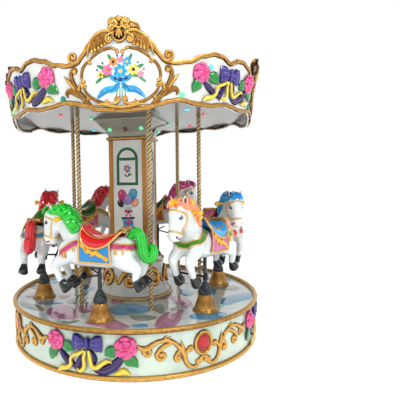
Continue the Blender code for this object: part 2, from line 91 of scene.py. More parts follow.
class Form:
    def __init__(self):
        self.points, self.tones, self.faces, self.count = [], [], [], 0

    def loft(self, rings, tones=1.0, ring=False):  # ring: the last section meets the first
        rings = np.asarray(rings, float)
        rows, sides = rings.shape[:2]
        index = np.arange(rows * sides).reshape(rows, sides)
        beside, ahead = np.roll(index, -1, axis=1), np.roll(index, -1, axis=0)
        spans = rows if ring else rows - 1
        quads = np.stack([index, beside, np.roll(beside, -1, axis=0), ahead], -1)[:spans].reshape(-1, 4)
        points = rings.reshape(-1, 3)
        tones = np.broadcast_to(tones, (rows, sides)).reshape(-1)
        caps = np.zeros((0, 3), int)
        if not ring:
            first, last = np.full(sides, rows * sides), np.full(sides, rows * sides + 1)
            caps = np.concatenate([
                np.stack([first, beside[0], index[0]], -1), np.stack([last, index[-1], beside[-1]], -1)])
            points = np.vstack([points, rings[0].mean(0), rings[-1].mean(0)])
            tones = np.append(tones, (tones[:sides].mean(), tones[-sides:].mean()))
        corners = np.concatenate([quads[:, [0, 1, 2]], quads[:, [0, 2, 3]], caps])
        p = points - points.mean(0)
        if (p[corners[:, 0]] * np.cross(p[corners[:, 1]], p[corners[:, 2]])).sum() < 0:
            quads, caps = quads[:, ::-1], caps[:, ::-1]  # the volume was negative, so the faces pointed in
        self.points.append(points)
        self.tones.append(tones)
        self.faces += (quads + self.count).tolist() + (caps + self.count).tolist()
        self.count += len(points)
        return self

    def add(self, other, move=None, mirror=False):  # move takes an array of points and gives the moved ones
        if not other.count:
            return self
        points = np.vstack(other.points)
        self.points.append(move(points) if move else points)
        self.tones.append(np.concatenate(other.tones))
        step = -1 if mirror else 1
        self.faces += [[i + self.count for i in face[::step]] for face in other.faces]
        self.count += other.count
        return self

    def mesh(self, name):
        mesh = bpy.data.meshes.new(name)
        mesh.from_pydata(np.vstack(self.points), [], self.faces)
        shading = mesh.attributes.new("shading", "FLOAT", "POINT")
        shading.data.foreach_set("value", np.concatenate(self.tones).astype(np.float32))
        return mesh


def smoothLine(points, count):  # an evenly spaced smooth line through the points
    points = np.asarray(points, float)
    padded = np.vstack([2 * points[0] - points[1], points, 2 * points[-1] - points[-2]])
    t = np.linspace(0, 1, 16, endpoint=False)[:, None]
    dense = []
    for a, b, c, d in zip(padded, padded[1:], padded[2:], padded[3:]):
        dense.append(0.5 * (2 * b + (c - a) * t + (2 * a - 5 * b + 4 * c - d) * t**2 + (3 * b - a - 3 * c + d) * t**3))
    dense = np.vstack(dense + [points[-1:]])
    along = np.append(0, np.cumsum(np.linalg.norm(np.diff(dense, axis=0), axis=1)))
    places = np.linspace(0, along[-1], count)
    return np.stack([np.interp(places, along, column) for column in dense.T], -1)


def sweep(path, width, height, up=(0, 0, 1), sides=12, under=0.35, folds=0, depth=0.3):
    # a tapering moulding along a path: half width, height above it, and how far it reaches under it
    path = np.asarray(path, float)
    count = len(path)
    along = np.gradient(path, axis=0)
    along /= np.linalg.norm(along, axis=1, keepdims=True) + 1e-12
    up = np.broadcast_to(np.asarray(up, float), (count, 3))
    side = np.cross(along, up)
    side /= np.linalg.norm(side, axis=1, keepdims=True) + 1e-12
    over = np.cross(side, along)
    angle = turns(sides)
    across, lift = np.cos(angle), np.sin(angle)
    crease = 0.5 - 0.5 * np.cos(folds * np.pi * (across + 1)) if folds else np.ones(sides)
    lift = np.where(lift < 0, lift * under, lift * (1 - depth * (1 - crease)))
    width = np.broadcast_to(width, (count,))[:, None, None]
    height = np.broadcast_to(height, (count,))[:, None, None]
    rings = path[:, None] + side[:, None] * width * across[None, :, None]
    rings = rings + over[:, None] * height * lift[None, :, None]
    # painted shade: the underside and the creases of the folds get low shading, the top gets painted highlight
    tones = np.clip(lift, 0, 1) * (0.35 + 0.65 * crease)
    return rings, np.broadcast_to(tones, (count, sides))


def lay(form, path, width, height, up=(0, 0, 1), shading=(0.0, 1.0), **shape):
    # sweeps a moulding into a form; the shading given is the painted shade of its hollows and the painted highlight of
    # its crests
    rings, tones = sweep(path, width, height, up, **shape)
    return form.loft(rings, shading[0] + (shading[1] - shading[0]) * tones)


def turns(count):  # equal turns round a circle, in radians
    return 2 * np.pi * np.arange(count) / count


def flat(points, lift=0.0):  # points of a drawing in a plane, with their height above it
    points = np.asarray(points, float)
    return np.column_stack([points, np.broadcast_to(lift, (len(points),))])


def curl(start, centre, turnCount, tight=0.15, count=22):  # a spiral that winds in to its centre
    start, centre = np.asarray(start, float), np.asarray(centre, float)
    spoke = start - centre
    t = np.linspace(0, 1, count)
    angle = math.atan2(spoke[1], spoke[0]) + turnCount * 2 * np.pi * t
    radius = np.hypot(*spoke) * (1 - t * (1 - tight))
    return centre + np.column_stack([radius * np.cos(angle), radius * np.sin(angle)])


def ease(a, b, count, power=1.0):
    return a + (b - a) * np.linspace(0, 1, count) ** power


def swell(ends, middle, count, sharp=1.0):  # a width that grows from the ends to the middle
    return ends + (middle - ends) * np.sin(np.pi * np.linspace(0, 1, count)) ** sharp


def ontoWall(azimuth, radiusAt, flared=False):
    # bends a drawing (right, height above the floor, outwards) round the machine; flared follows each point's radius
    def move(points):
        radius = radiusAt(points[:, 1])
        angle = math.radians(azimuth) + points[:, 0] / (radius if flared else radius.mean())
        out = radius + points[:, 2]
        return np.column_stack([out * np.sin(angle), -out * np.cos(angle), points[:, 1]])
    return move


def placed(u=0.0, v=0.0, w=0.0, turn=0.0, size=1.0, mirror=False):
    c, s = math.cos(math.radians(turn)), math.sin(math.radians(turn))

    def move(points):
        x = (-points[:, 0] if mirror else points[:, 0]) * size
        y = points[:, 1] * size
        return np.column_stack([u + x * c - y * s, v + x * s + y * c, w + points[:, 2] * size])
    return move


def bent(form, azimuth, radiusAt, flared=False, **place):  # a drawing moved to its place, then bent round the machine
    return Form().add(Form().add(form, placed(**place)), ontoWall(azimuth, radiusAt, flared))


def bothHalves(half):  # a drawing's right half and its mirror image
    return Form().add(half).add(half, placed(mirror=True), mirror=True)


def newObject(name, data):
    obj = bpy.data.objects.new(name, data)
    bpy.context.scene.collection.objects.link(obj)
    return obj


def applied(obj, name):  # the plain mesh that an object's modifiers make
    bpy.context.view_layer.update()
    mesh = bpy.data.meshes.new_from_object(obj.evaluated_get(bpy.context.evaluated_depsgraph_get()))
    mesh.name = name
    bpy.data.objects.remove(obj)
    return mesh


def piece(name, shape, material, body, slot=None, replaces=(), sharp=40):  # shape is a form or a finished mesh
    mesh = shape.mesh(name) if isinstance(shape, Form) else shape
    obj = newObject(name, mesh)
    mesh.materials.clear()
    mesh.materials.append(material)
    mesh.shade_smooth()
    mesh.set_sharp_from_angle(angle=math.radians(sharp))
    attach(obj, body)
    if replaces:
        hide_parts(*replaces)
    return obj


def repaint(node, material):  # a CAD node that shows as it is
    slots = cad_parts[node].data.materials
    slots.clear()
    slots.append(material)


# Materials


def newMaterial(name, colour, roughness, metallic=0.0, coat=0.0):
    material = bpy.data.materials.new(name)
    material.use_nodes = True
    tree = material.node_tree
    shader = tree.nodes["Principled BSDF"]
    shader.inputs["Base Color"].default_value = toLinear(colour)
    shader.inputs["Roughness"].default_value = roughness
    shader.inputs["Metallic"].default_value = metallic
    shader.inputs["Coat Weight"].default_value = coat
    shader.inputs["Coat Roughness"].default_value = 0.04
    return material, tree, shader


def patternNoise(tree, millimetres, detail=2.0, rough=0.5, stretch=(1, 1, 1)):  # noise whose lumps have a real size
    place = addNode(tree, "ShaderNodeTexCoord")
    mapping = addNode(tree, "ShaderNodeMapping", {"Vector": place.outputs["Object"], "Scale": stretch})
    links = {"Vector": mapping.outputs[0], "Scale": 1000 / millimetres, "Detail": detail, "Roughness": rough}
    return addNode(tree, "ShaderNodeTexNoise", links).outputs["Fac"]


def ramp(tree, factor, stops):
    node = addNode(tree, "ShaderNodeValToRGB", {"Fac": factor})
    elements = node.color_ramp.elements
    while len(elements) < len(stops):
        elements.new(0.5)
    for element, (place, colour) in zip(elements, stops):
        element.position = place
        element.color = toLinear(colour)
    return node.outputs["Color"]


def bump(tree, shader, height, strength, distance):
    links = {"Height": height, "Strength": strength, "Distance": distance}
    tree.links.new(addNode(tree, "ShaderNodeBump", links).outputs["Normal"], shader.inputs["Normal"])


# the painted shading of each point: low for painted shade in hollows, high for painted highlight on crests
def shadingOf(tree):
    return addNode(tree, "ShaderNodeAttribute", attribute_name="shading").outputs["Fac"]


def mathNode(tree, operation, a, b=0.0, c=0.0):
    return addNode(tree, "ShaderNodeMath", {0: a, 1: b, 2: c}, operation=operation).outputs[0]


def antiqueGold(name, hollow="35200b", middle="8b5c24", crest="deb264"):
    # bronze powder paint under a wiped brown glaze: the brown glaze in the hollows deepened with painted shade, random
    # glaze streaks, and the crests and sides facing the light bright as painted highlight
    material, tree, shader = newMaterial(name, middle, 0.3, metallic=0.62)
    streaks = patternNoise(tree, 22, detail=4)
    # random glaze streaks added to the painted shading
    wearAndShade = mathNode(tree, "MULTIPLY_ADD", mathNode(tree, "SUBTRACT", streaks, 0.5), 0.7, shadingOf(tree))
    colour = ramp(tree, wearAndShade, ((0.02, hollow), (0.4, middle), (0.95, crest)))
    tree.links.new(colour, shader.inputs["Base Color"])
    brush = patternNoise(tree, 5, detail=2)
    rough = mathNode(tree, "MULTIPLY_ADD", brush, 0.22, 0.2)
    tree.links.new(rough, shader.inputs["Roughness"])
    bump(tree, shader, brush, 0.25, 0.0012)
    return material


def enamel(name, colour, shade, spread=1.0, tips=(), gloss=0.12):
    # two-pack automotive enamel on fibreglass with painted shade: the darker shade colour laid into folds and hollows,
    # tips brushed over in patches, clear lacquer
    material, tree, shader = newMaterial(name, colour, gloss, coat=0.8)
    cloud = mathNode(tree, "SUBTRACT", patternNoise(tree, 30, detail=3), 0.5)
    mix = mathNode(tree, "MULTIPLY_ADD", cloud, 0.35 * spread, shadingOf(tree))
    paint = ramp(tree, mix, ((0.1, shade), (0.7, colour)))
    for k, tip in enumerate(tips):
        patch = ramp(tree, patternNoise(tree, 48 + 9 * k), ((0.46, "000000"), (0.52, "ffffff")))
        node = addNode(tree, "ShaderNodeMix", {"Factor": patch, 6: paint, 7: toLinear(tip)}, data_type="RGBA")
        paint = node.outputs[2]
    tree.links.new(paint, shader.inputs["Base Color"])
    bump(tree, shader, patternNoise(tree, 4), 0.12, 0.0006)
    return material


def gelcoat(name, colour, shade, gloss=0.14, peel=0.12):
    # white gelcoat over hand-laid glass mat: near mirror gloss, slight orange peel, faint yellowing in clouds
    material, tree, shader = newMaterial(name, colour, gloss, coat=0.4)
    cloud = patternNoise(tree, 260, detail=3)
    tree.links.new(ramp(tree, cloud, ((0.3, shade), (0.62, colour))), shader.inputs["Base Color"])
    bump(tree, shader, patternNoise(tree, 9), peel, 0.0012)
    return material


gold = antiqueGold("antiqueGoldPaint")
bellGold = antiqueGold("bellGoldPaint", "6e4a1e", "a3773a", "d6ac68")
stripGold = antiqueGold("flatGoldPaint", "8a5f2c", "ad7d42", "c4955a")
paleGold = antiqueGold("paleGoldPaint", "6b5433", "a88d60", "d9c69c")
drumWhite = gelcoat("mintWhiteGelcoat", "d6e4d6", "c4d3c7")
bodyWhite = gelcoat("horseWhiteGelcoat", "ebefee", "dde3e3", gloss=0.1, peel=0.06)
columnWhite = gelcoat("columnGelcoat", "dfe1db", "cfd2cb")
capitalWhite = gelcoat("greyWhiteGelcoat", "9f9b8f", "8b877b", gloss=0.1)
ceilingGrey = gelcoat("ceilingGelcoat", "5d584d", "454037", gloss=0.22, peel=0.5)
blackSteel = enamel("blackStovedEnamel", "17181a", "0b0b0c")
hoofBlack = enamel("hoofBlackEnamel", "202426", "0b0c0e", gloss=0.24)
print("materials made")


# Geometry Nodes trees


def newTree(name, inputs):  # a tree with named inputs; returns it, its input node and its output node
    tree = bpy.data.node_groups.new(name, "GeometryNodeTree")
    tree.interface.new_socket("Geometry", in_out="INPUT", socket_type="NodeSocketGeometry")
    tree.interface.new_socket("Geometry", in_out="OUTPUT", socket_type="NodeSocketGeometry")
    for label, kind, value in inputs:
        socket = tree.interface.new_socket(label, in_out="INPUT", socket_type=f"NodeSocket{kind}")
        if value is not None:
            socket.default_value = value
    return tree, addNode(tree, "NodeGroupInput").outputs, addNode(tree, "NodeGroupOutput")


def closeTree(tree, points, shape, rotation, material, end):
    # a shape on every point, realized since instances don't export, and painted
    links = {"Points": points, "Instance": shape, "Rotation": rotation}
    instances = addNode(tree, "GeometryNodeInstanceOnPoints", links).outputs[0]
    closePlain(tree, addNode(tree, "GeometryNodeRealizeInstances", {"Geometry": instances}).outputs[0], material, end)


def closePlain(tree, geometry, material, end):
    painted = addNode(tree, "GeometryNodeSetMaterial", {"Geometry": geometry, "Material": material})
    tree.links.new(painted.outputs[0], end.inputs[0])


def standAround(tree, given, shape, end, phase=0.0):  # a shape at equal turns round the machine's axis
    points = addNode(tree, "GeometryNodePoints", {"Count": given["Count"]}).outputs[0]
    step = mathNode(tree, "DIVIDE", math.tau, given["Count"])
    turn = mathNode(tree, "MULTIPLY_ADD", step, addNode(tree, "GeometryNodeInputIndex").outputs[0], phase)
    spin = addNode(tree, "ShaderNodeCombineXYZ", {"Z": turn}).outputs[0]
    closeTree(tree, points, shape, spin, given["Material"], end)


def ringTree():  # repeats the incoming mesh
    tree, given, end = newTree("repeatAroundAxis", (("Count", "Int", 4), ("Material", "Material", None)))
    standAround(tree, given, given["Geometry"], end)
    return tree


def ropeTree():  # a rope-twist pole: a lobed section swept up a line, turning as it goes
    tree, given, end = newTree("ropeTwistPole", (
        ("Radius", "Float", 0.018), ("Bottom", "Float", 0.0), ("Top", "Float", 1.0), ("Turns", "Float", 12.0),
        ("Strands", "Int", 3), ("Groove", "Float", 0.2), ("Circle", "Float", 0.6), ("Phase", "Float", 0.0),
        ("Count", "Int", 6), ("Steps", "Int", 300), ("Material", "Material", None)))
    low = addNode(tree, "ShaderNodeCombineXYZ", {"Z": given["Bottom"]})
    high = addNode(tree, "ShaderNodeCombineXYZ", {"Z": given["Top"]})
    line = addNode(tree, "GeometryNodeCurvePrimitiveLine", {"Start": low.outputs[0], "End": high.outputs[0]})
    spaced = addNode(tree, "GeometryNodeResampleCurve", {"Curve": line.outputs[0], "Count": given["Steps"]})
    share = addNode(tree, "GeometryNodeSplineParameter").outputs["Factor"]
    twist = mathNode(tree, "MULTIPLY", mathNode(tree, "MULTIPLY", share, given["Turns"]), math.tau)
    tilted = addNode(tree, "GeometryNodeSetCurveTilt", {"Curve": spaced.outputs[0], "Tilt": twist})
    section = addNode(tree, "GeometryNodeCurvePrimitiveCircle", {"Resolution": 24, "Radius": given["Radius"]})
    place = addNode(tree, "ShaderNodeSeparateXYZ", {0: addNode(tree, "GeometryNodeInputPosition").outputs[0]})
    angle = mathNode(tree, "ARCTAN2", place.outputs["Y"], place.outputs["X"])
    lobe = mathNode(tree, "ABSOLUTE", mathNode(
        tree, "SINE", mathNode(tree, "MULTIPLY", angle, mathNode(tree, "DIVIDE", given["Strands"], 2.0))))
    keep = mathNode(tree, "SUBTRACT", 1.0, mathNode(
        tree, "MULTIPLY", given["Groove"], mathNode(tree, "SUBTRACT", 1.0, lobe)))
    scaled = addNode(tree, "ShaderNodeVectorMath", {
        0: addNode(tree, "GeometryNodeInputPosition").outputs[0], "Scale": keep}, operation="SCALE")
    lobed = addNode(tree, "GeometryNodeSetPosition", {"Geometry": section.outputs[0], "Position": scaled.outputs[0]})
    # painted shade: the grooves between the strands darker, the strands' crowns lighter
    toned = addNode(tree, "GeometryNodeStoreNamedAttribute", {
        "Geometry": lobed.outputs[0], "Name": "shading", "Value": lobe}, data_type="FLOAT", domain="POINT")
    pole = addNode(tree, "GeometryNodeCurveToMesh", {
        "Curve": tilted.outputs[0], "Profile Curve": toned.outputs[0], "Fill Caps": True})
    aside = addNode(tree, "ShaderNodeCombineXYZ", {"X": given["Circle"]})
    moved = addNode(tree, "GeometryNodeTransform", {"Geometry": pole.outputs[0], "Translation": aside.outputs[0]})
    standAround(tree, given, moved.outputs[0], end, given["Phase"])
    return tree


def beadTree():  # a round bead run along a circle
    tree, given, end = newTree("ringBead", (
        ("Circle", "Float", 1.0), ("Bead", "Float", 0.018), ("Height", "Float", 0.0), ("Material", "Material", None)))
    circle = addNode(tree, "GeometryNodeCurvePrimitiveCircle", {"Resolution": 240, "Radius": given["Circle"]})
    section = addNode(tree, "GeometryNodeCurvePrimitiveCircle", {"Resolution": 20, "Radius": given["Bead"]})
    bead = addNode(tree, "GeometryNodeCurveToMesh", {"Curve": circle.outputs[0], "Profile Curve": section.outputs[0]})
    up = addNode(tree, "ShaderNodeCombineXYZ", {"Z": given["Height"]})
    raised = addNode(tree, "GeometryNodeTransform", {"Geometry": bead.outputs[0], "Translation": up.outputs[0]})
    # painted light: the bead lighter on its top, which faces the light, and darker underneath
    outward = addNode(tree, "GeometryNodeInputNormal").outputs[0]
    tall = addNode(tree, "ShaderNodeSeparateXYZ", {0: outward}).outputs["Z"]
    shading = mathNode(tree, "MULTIPLY_ADD", tall, 0.35, 0.6)
    toned = addNode(tree, "GeometryNodeStoreNamedAttribute", {
        "Geometry": raised.outputs[0], "Name": "shading", "Value": shading}, data_type="FLOAT", domain="POINT")
    real = addNode(tree, "GeometryNodeRealizeInstances", {"Geometry": toned.outputs[0]})
    closePlain(tree, real.outputs[0], given["Material"], end)
    return tree


def lampTree():  # a domed lens on each incoming point, facing along the point's stored direction
    tree, given, end = newTree("lampRow", (
        ("Radius", "Float", 0.012), ("Dome", "Float", 0.7), ("Material", "Material", None)))
    ball = addNode(tree, "GeometryNodeMeshUVSphere", {"Segments": 16, "Rings": 10, "Radius": given["Radius"]})
    squat = addNode(tree, "ShaderNodeCombineXYZ", {"X": 1.0, "Y": 1.0, "Z": given["Dome"]})
    lens = addNode(tree, "GeometryNodeTransform", {"Geometry": ball.outputs[0], "Scale": squat.outputs[0]})
    facing = addNode(tree, "GeometryNodeInputNamedAttribute", {"Name": "facing"}, data_type="FLOAT_VECTOR")
    turned = addNode(tree, "FunctionNodeAlignRotationToVector", {"Vector": facing.outputs[0]}, axis="Z")
    closeTree(tree, given["Geometry"], lens.outputs[0], turned.outputs[0], given["Material"], end)
    return tree


trees = {"ring": ringTree(), "rope": ropeTree(), "bead": beadTree(), "lamp": lampTree()}


def grown(name, tree, values, start=None):  # runs a tree on a mesh and gives the plain mesh that it makes
    obj = newObject(name + "Seed", start or bpy.data.meshes.new(name))
    modifier = obj.modifiers.new("Grow", "NODES")
    modifier.node_group = tree
    for item in tree.interface.items_tree:
        if item.in_out == "INPUT" and item.name in values:
            modifier[item.identifier] = values[item.name]
    return applied(obj, name)


def repeated(name, form, count, material, body, slot, replaces=(), sharp=40):
    mesh = grown(name, trees["ring"], {"Count": count, "Material": material}, form.mesh(name + "One"))
    return piece(name, mesh, material, body, slot, replaces, sharp)


def turnedForm(profile, segments, folds=None):  # a turned shape; the profile runs from the top outside to the bottom
    profile = np.asarray(profile, float)
    angle = turns(segments)
    rings = np.stack([np.outer(profile[:, 0], np.cos(angle)), np.outer(profile[:, 0], np.sin(angle)),
                      np.repeat(profile[:, 1:2], segments, 1)], -1)
    if folds is not None:
        rings[..., :2] *= folds[..., None]
    return rings


def turnedRing(profile, segments, tones=1.0, folds=None):  # a turned body with a closed profile
    return Form().loft(turnedForm(profile, segments, folds).transpose(1, 0, 2), tones, ring=True)


print("trees built")


# The fixed drum


drum = {
    "wallRadius": 1.034, "wallInner": 1.022, "wallBottom": 0.0363, "wallTop": 0.3185, "wallRows": (0.2, 0.1),
    "corner": 0.003, "baseOuter": 1.054, "baseInner": 1.018, "baseHeight": 0.036, "baseSteps": 12, "segments": 240,
    "bowHeight": 0.250,
}


def buildDrumWall():
    outer, inner, low, high = (drum[key] for key in ("wallRadius", "wallInner", "wallBottom", "wallTop"))
    wall = [(inner, high), (outer - drum["corner"], high), (outer, high - drum["corner"])]
    wall += [*[(outer, z) for z in drum["wallRows"]], (outer, low), (inner, low)]
    piece("drum_wall", turnedRing(wall, drum["segments"]), drumWhite, "drum", "white_gelcoat", ["drum_skirt"])


def buildDrumBase():  # half-round bead on the floor
    half = drum["baseHeight"] / 2
    centre = drum["baseOuter"] - half
    angles = [math.pi / 2 - math.pi * i / drum["baseSteps"] for i in range(drum["baseSteps"] + 1)]
    base = [(centre + half * math.cos(a), half + half * math.sin(a)) for a in angles]
    base = [(drum["baseInner"], drum["baseHeight"]), *base, (drum["baseInner"], 0.0)]
    # painted light: the bead brightest on its upper outer side, where the light falls, and darker below
    tones = [0.4, *[0.35 + 0.6 * max(0.0, math.cos(a - 0.5)) for a in angles], 0.2]
    form = turnedRing(base, drum["segments"], tones)
    piece("drum_base_bead", form, gold, "drum", "gold_paint", ["drum_bottom_bead"], sharp=60)


buildDrumWall()
buildDrumBase()
repaint("base_frame", blackSteel)
print("drum built")


# The turning deck


deck = {
    "edge": 1.0359, "edgeBottom": 0.3255, "frameRadius": 0.975, "frameBottom": 0.300, "lipRadius": 0.985,
    "hubRadius": 0.120, "hubBottom": 0.260, "axis": 0.001, "segments": 240,
    "beadCircle": 1.050, "bead": 0.018, "beadHeight": 0.3435,
    "rodHole": (0.0205, 0.345, 0.240),  # radius, top, bottom
    "patchThick": 0.0004, "patchSunk": 0.0005, "patchSteps": 32,
    "patchLevels": 6, "patchLevel": 0.00012,  # patches that meet lie at different levels
    "patches": (  # colour, centre x, centre y, half length, half width, turn
        ("mauve", -0.561, -0.595, 0.185, 0.125, -89), ("blue", -0.704, -0.336, 0.105, 0.060, -26),
        ("grey", -0.843, -0.416, 0.184, 0.052, -55), ("grey", -0.486, -0.789, 0.090, 0.042, -5),
        ("grey", -0.493, -0.244, 0.154, 0.070, 85), ("mauve", -0.378, -0.487, 0.140, 0.068, -89),
        ("mauve", -0.202, -0.854, 0.160, 0.096, -13), ("mauve", -0.143, -0.322, 0.095, 0.068, -68),
        ("blue", -0.068, -0.542, 0.160, 0.150, 70), ("grey", 0.043, -0.734, 0.112, 0.070, -8),
        ("blue", 0.029, -0.910, 0.056, 0.042, -29), ("mauve", 0.249, -0.787, 0.210, 0.090, 56),
        ("grey", 0.185, -0.552, 0.112, 0.062, 88), ("mauve", 0.383, -0.356, 0.165, 0.082, 86),
        ("mauve", 0.253, -0.237, 0.080, 0.056, 25), ("blue", 0.537, -0.738, 0.140, 0.092, 31),
        ("blue", 0.850, -0.319, 0.205, 0.090, 50), ("blue", 0.444, -0.106, 0.120, 0.062, 80),
        ("blue", 0.668, -0.111, 0.110, 0.060, 84), ("grey", 0.822, 0.015, 0.126, 0.099, -37),
        ("mauve", -0.610, -0.151, 0.072, 0.056, 76), ("mauve", -0.911, -0.126, 0.066, 0.042, -68),
        ("grey", -0.930, 0.163, 0.090, 0.056, -62), ("blue", -0.450, 0.110, 0.122, 0.062, 87),
        ("mauve", -0.060, 0.520, 0.150, 0.090, 6), ("blue", 0.330, 0.560, 0.130, 0.080, -32),
        ("grey", -0.330, 0.620, 0.120, 0.070, 24), ("mauve", 0.640, 0.440, 0.150, 0.090, -50),
        ("blue", -0.080, 0.800, 0.150, 0.080, 4), ("mauve", -0.560, 0.640, 0.160, 0.090, 40),
        ("grey", 0.240, 0.860, 0.110, 0.060, -14), ("blue", -0.780, 0.400, 0.120, 0.070, 66),
        ("mauve", 0.540, 0.740, 0.130, 0.070, -38), ("grey", -0.360, 0.880, 0.090, 0.045, 24),
        ("grey", 0.450, 0.250, 0.090, 0.060, -45), ("blue", 0.870, 0.230, 0.090, 0.060, 90),
    ),
}


def glossyRipples(name, colour, shade, gloss, clouds, detail):
    # gelcoat brushed on thick over the mould: glass-clear gloss with long low ripples, cloudy where it ran thin
    material, tree, shader = newMaterial(name, colour, gloss, coat=0.6)
    cloud = patternNoise(tree, clouds, detail=detail)
    tree.links.new(ramp(tree, cloud, ((0.3, shade), (0.6, colour))), shader.inputs["Base Color"])
    bump(tree, shader, patternNoise(tree, 80, detail=2), 0.55, 0.007)
    return material


def patchForm(entries):  # wavy lens shapes, as a brush leaves them
    form = Form()
    for entry in entries:
        _, x, y, length, width, turn = entry
        seed = x * 37.0 + y * 91.0
        t = turns(deck["patchSteps"])
        lens = np.abs(np.sin(t)) ** 1.25 * np.sign(np.sin(t))
        wobble = 1 + 0.10 * np.sin(2 * t + seed) + 0.07 * np.sin(3 * t + 2.1 * seed)
        shift = 0.18 * width * np.sin(np.cos(t) * 2.4 + seed)
        outline = np.column_stack([length * np.cos(t) * wobble, width * lens * wobble + shift])
        c, s = math.cos(math.radians(turn)), math.sin(math.radians(turn))
        outline = outline @ np.array([[c, s], [-s, c]]) + (x, y)
        middle = outline.mean(0)
        low = machine["deckTop"] - deck["patchSunk"]
        level = deck["patches"].index(entry) % deck["patchLevels"]
        high = machine["deckTop"] + deck["patchThick"] + deck["patchLevel"] * level
        form.loft([flat(middle + (outline - middle) * share, height) for share, height in (
            (0.02, low), (1.0, low), (1.0, high - 0.0002), (0.985, high), (0.02, high))])
    return form


def bored(mesh):  # cuts the holes that the six rods run through, under their bells
    drill = Form()
    radius, top, bottom = deck["rodHole"]
    axis = deck["axis"] / 2
    for seat in range(machine["seats"]):
        spot = np.array(around(machine["drumPhase"] + 360 / machine["seats"] * seat, machine["horseCircle"]))
        turned = Form().loft(turnedForm([(axis, top), (radius, top), (radius, bottom), (axis, bottom)], 24))
        drill.add(turned, lambda p, spot=spot: p + spot)
    work = newObject("boredDeck", mesh)
    cutter = newObject("rodDrill", drill.mesh("rodDrill"))
    modifier = work.modifiers.new("Bore", "BOOLEAN")
    modifier.operation = "DIFFERENCE"
    modifier.solver = "EXACT"
    modifier.object = cutter
    result = applied(work, mesh.name)
    bpy.data.objects.remove(cutter)
    return result


def buildDeck():
    axis, top, hub = deck["axis"], machine["deckTop"], deck["hubRadius"]
    profile = [(axis, top), (0.5, top), (deck["edge"], top), (deck["edge"], deck["edgeBottom"]),
               (deck["lipRadius"], deck["edgeBottom"]), (deck["frameRadius"], deck["frameBottom"]),
               (hub + 0.02, deck["frameBottom"]), (hub, deck["hubBottom"]), (axis, deck["hubBottom"])]
    plate = bored(Form().loft(turnedForm(profile, deck["segments"])).mesh("deck_plate"))
    surface = glossyRipples("deckGelcoat", "e2e9e5", "c3cdc9", 0.07, 180, 3)
    piece("deck_plate", plate, surface, "turntable", "deck_gelcoat", ["deck"], sharp=25)
    paints = {"mauve": ("c087a4", "a87491"), "blue": ("6aaed1", "5496bd"), "grey": ("97a8a1", "83958f")}
    for colour, (tint, shade) in paints.items():
        name = f"deck_patches_{colour}"
        form = patchForm([entry for entry in deck["patches"] if entry[0] == colour])
        paint = glossyRipples(colour + "Gelcoat", tint, shade, 0.08, 70, 4)
        piece(name, bored(form.mesh(name)), paint, "turntable", "deck_gelcoat")
    values = {"Circle": deck["beadCircle"], "Bead": deck["bead"], "Height": deck["beadHeight"], "Material": gold}
    bead = grown("deck_edge_bead", trees["bead"], values)
    piece("deck_edge_bead", bead, gold, "turntable", "gold_paint", ["deck_rim_bead"], sharp=80)


buildDeck()
print("deck built")


# Poles


poles = {"radius": 0.018, "groove": 0.26, "pitch": 0.098, "strands": 3, "steps": 300, "gap": 0.0003}


def buildPoles():
    low, high = machine["deckTop"] + poles["gap"], machine["ceilingBottom"] - poles["gap"]
    values = {"Radius": poles["radius"], "Bottom": low, "Top": high, "Turns": (high - low) / poles["pitch"],
              "Strands": poles["strands"], "Groove": poles["groove"], "Circle": machine["poleCircle"],
              "Phase": math.radians(machine["polePhase"] - 90), "Count": machine["seats"], "Steps": poles["steps"],
              "Material": paleGold}
    names = [f"pole_{i + 1}" for i in range(machine["seats"])]
    mesh = grown("rope_poles", trees["rope"], values)
    piece("rope_poles", mesh, paleGold, "turntable", "gold_paint", names, sharp=70)


buildPoles()
print("poles built")


# Horses, each in its own frame: x forward of the rod, y to its left, z up from the deck at the bottom of the stroke


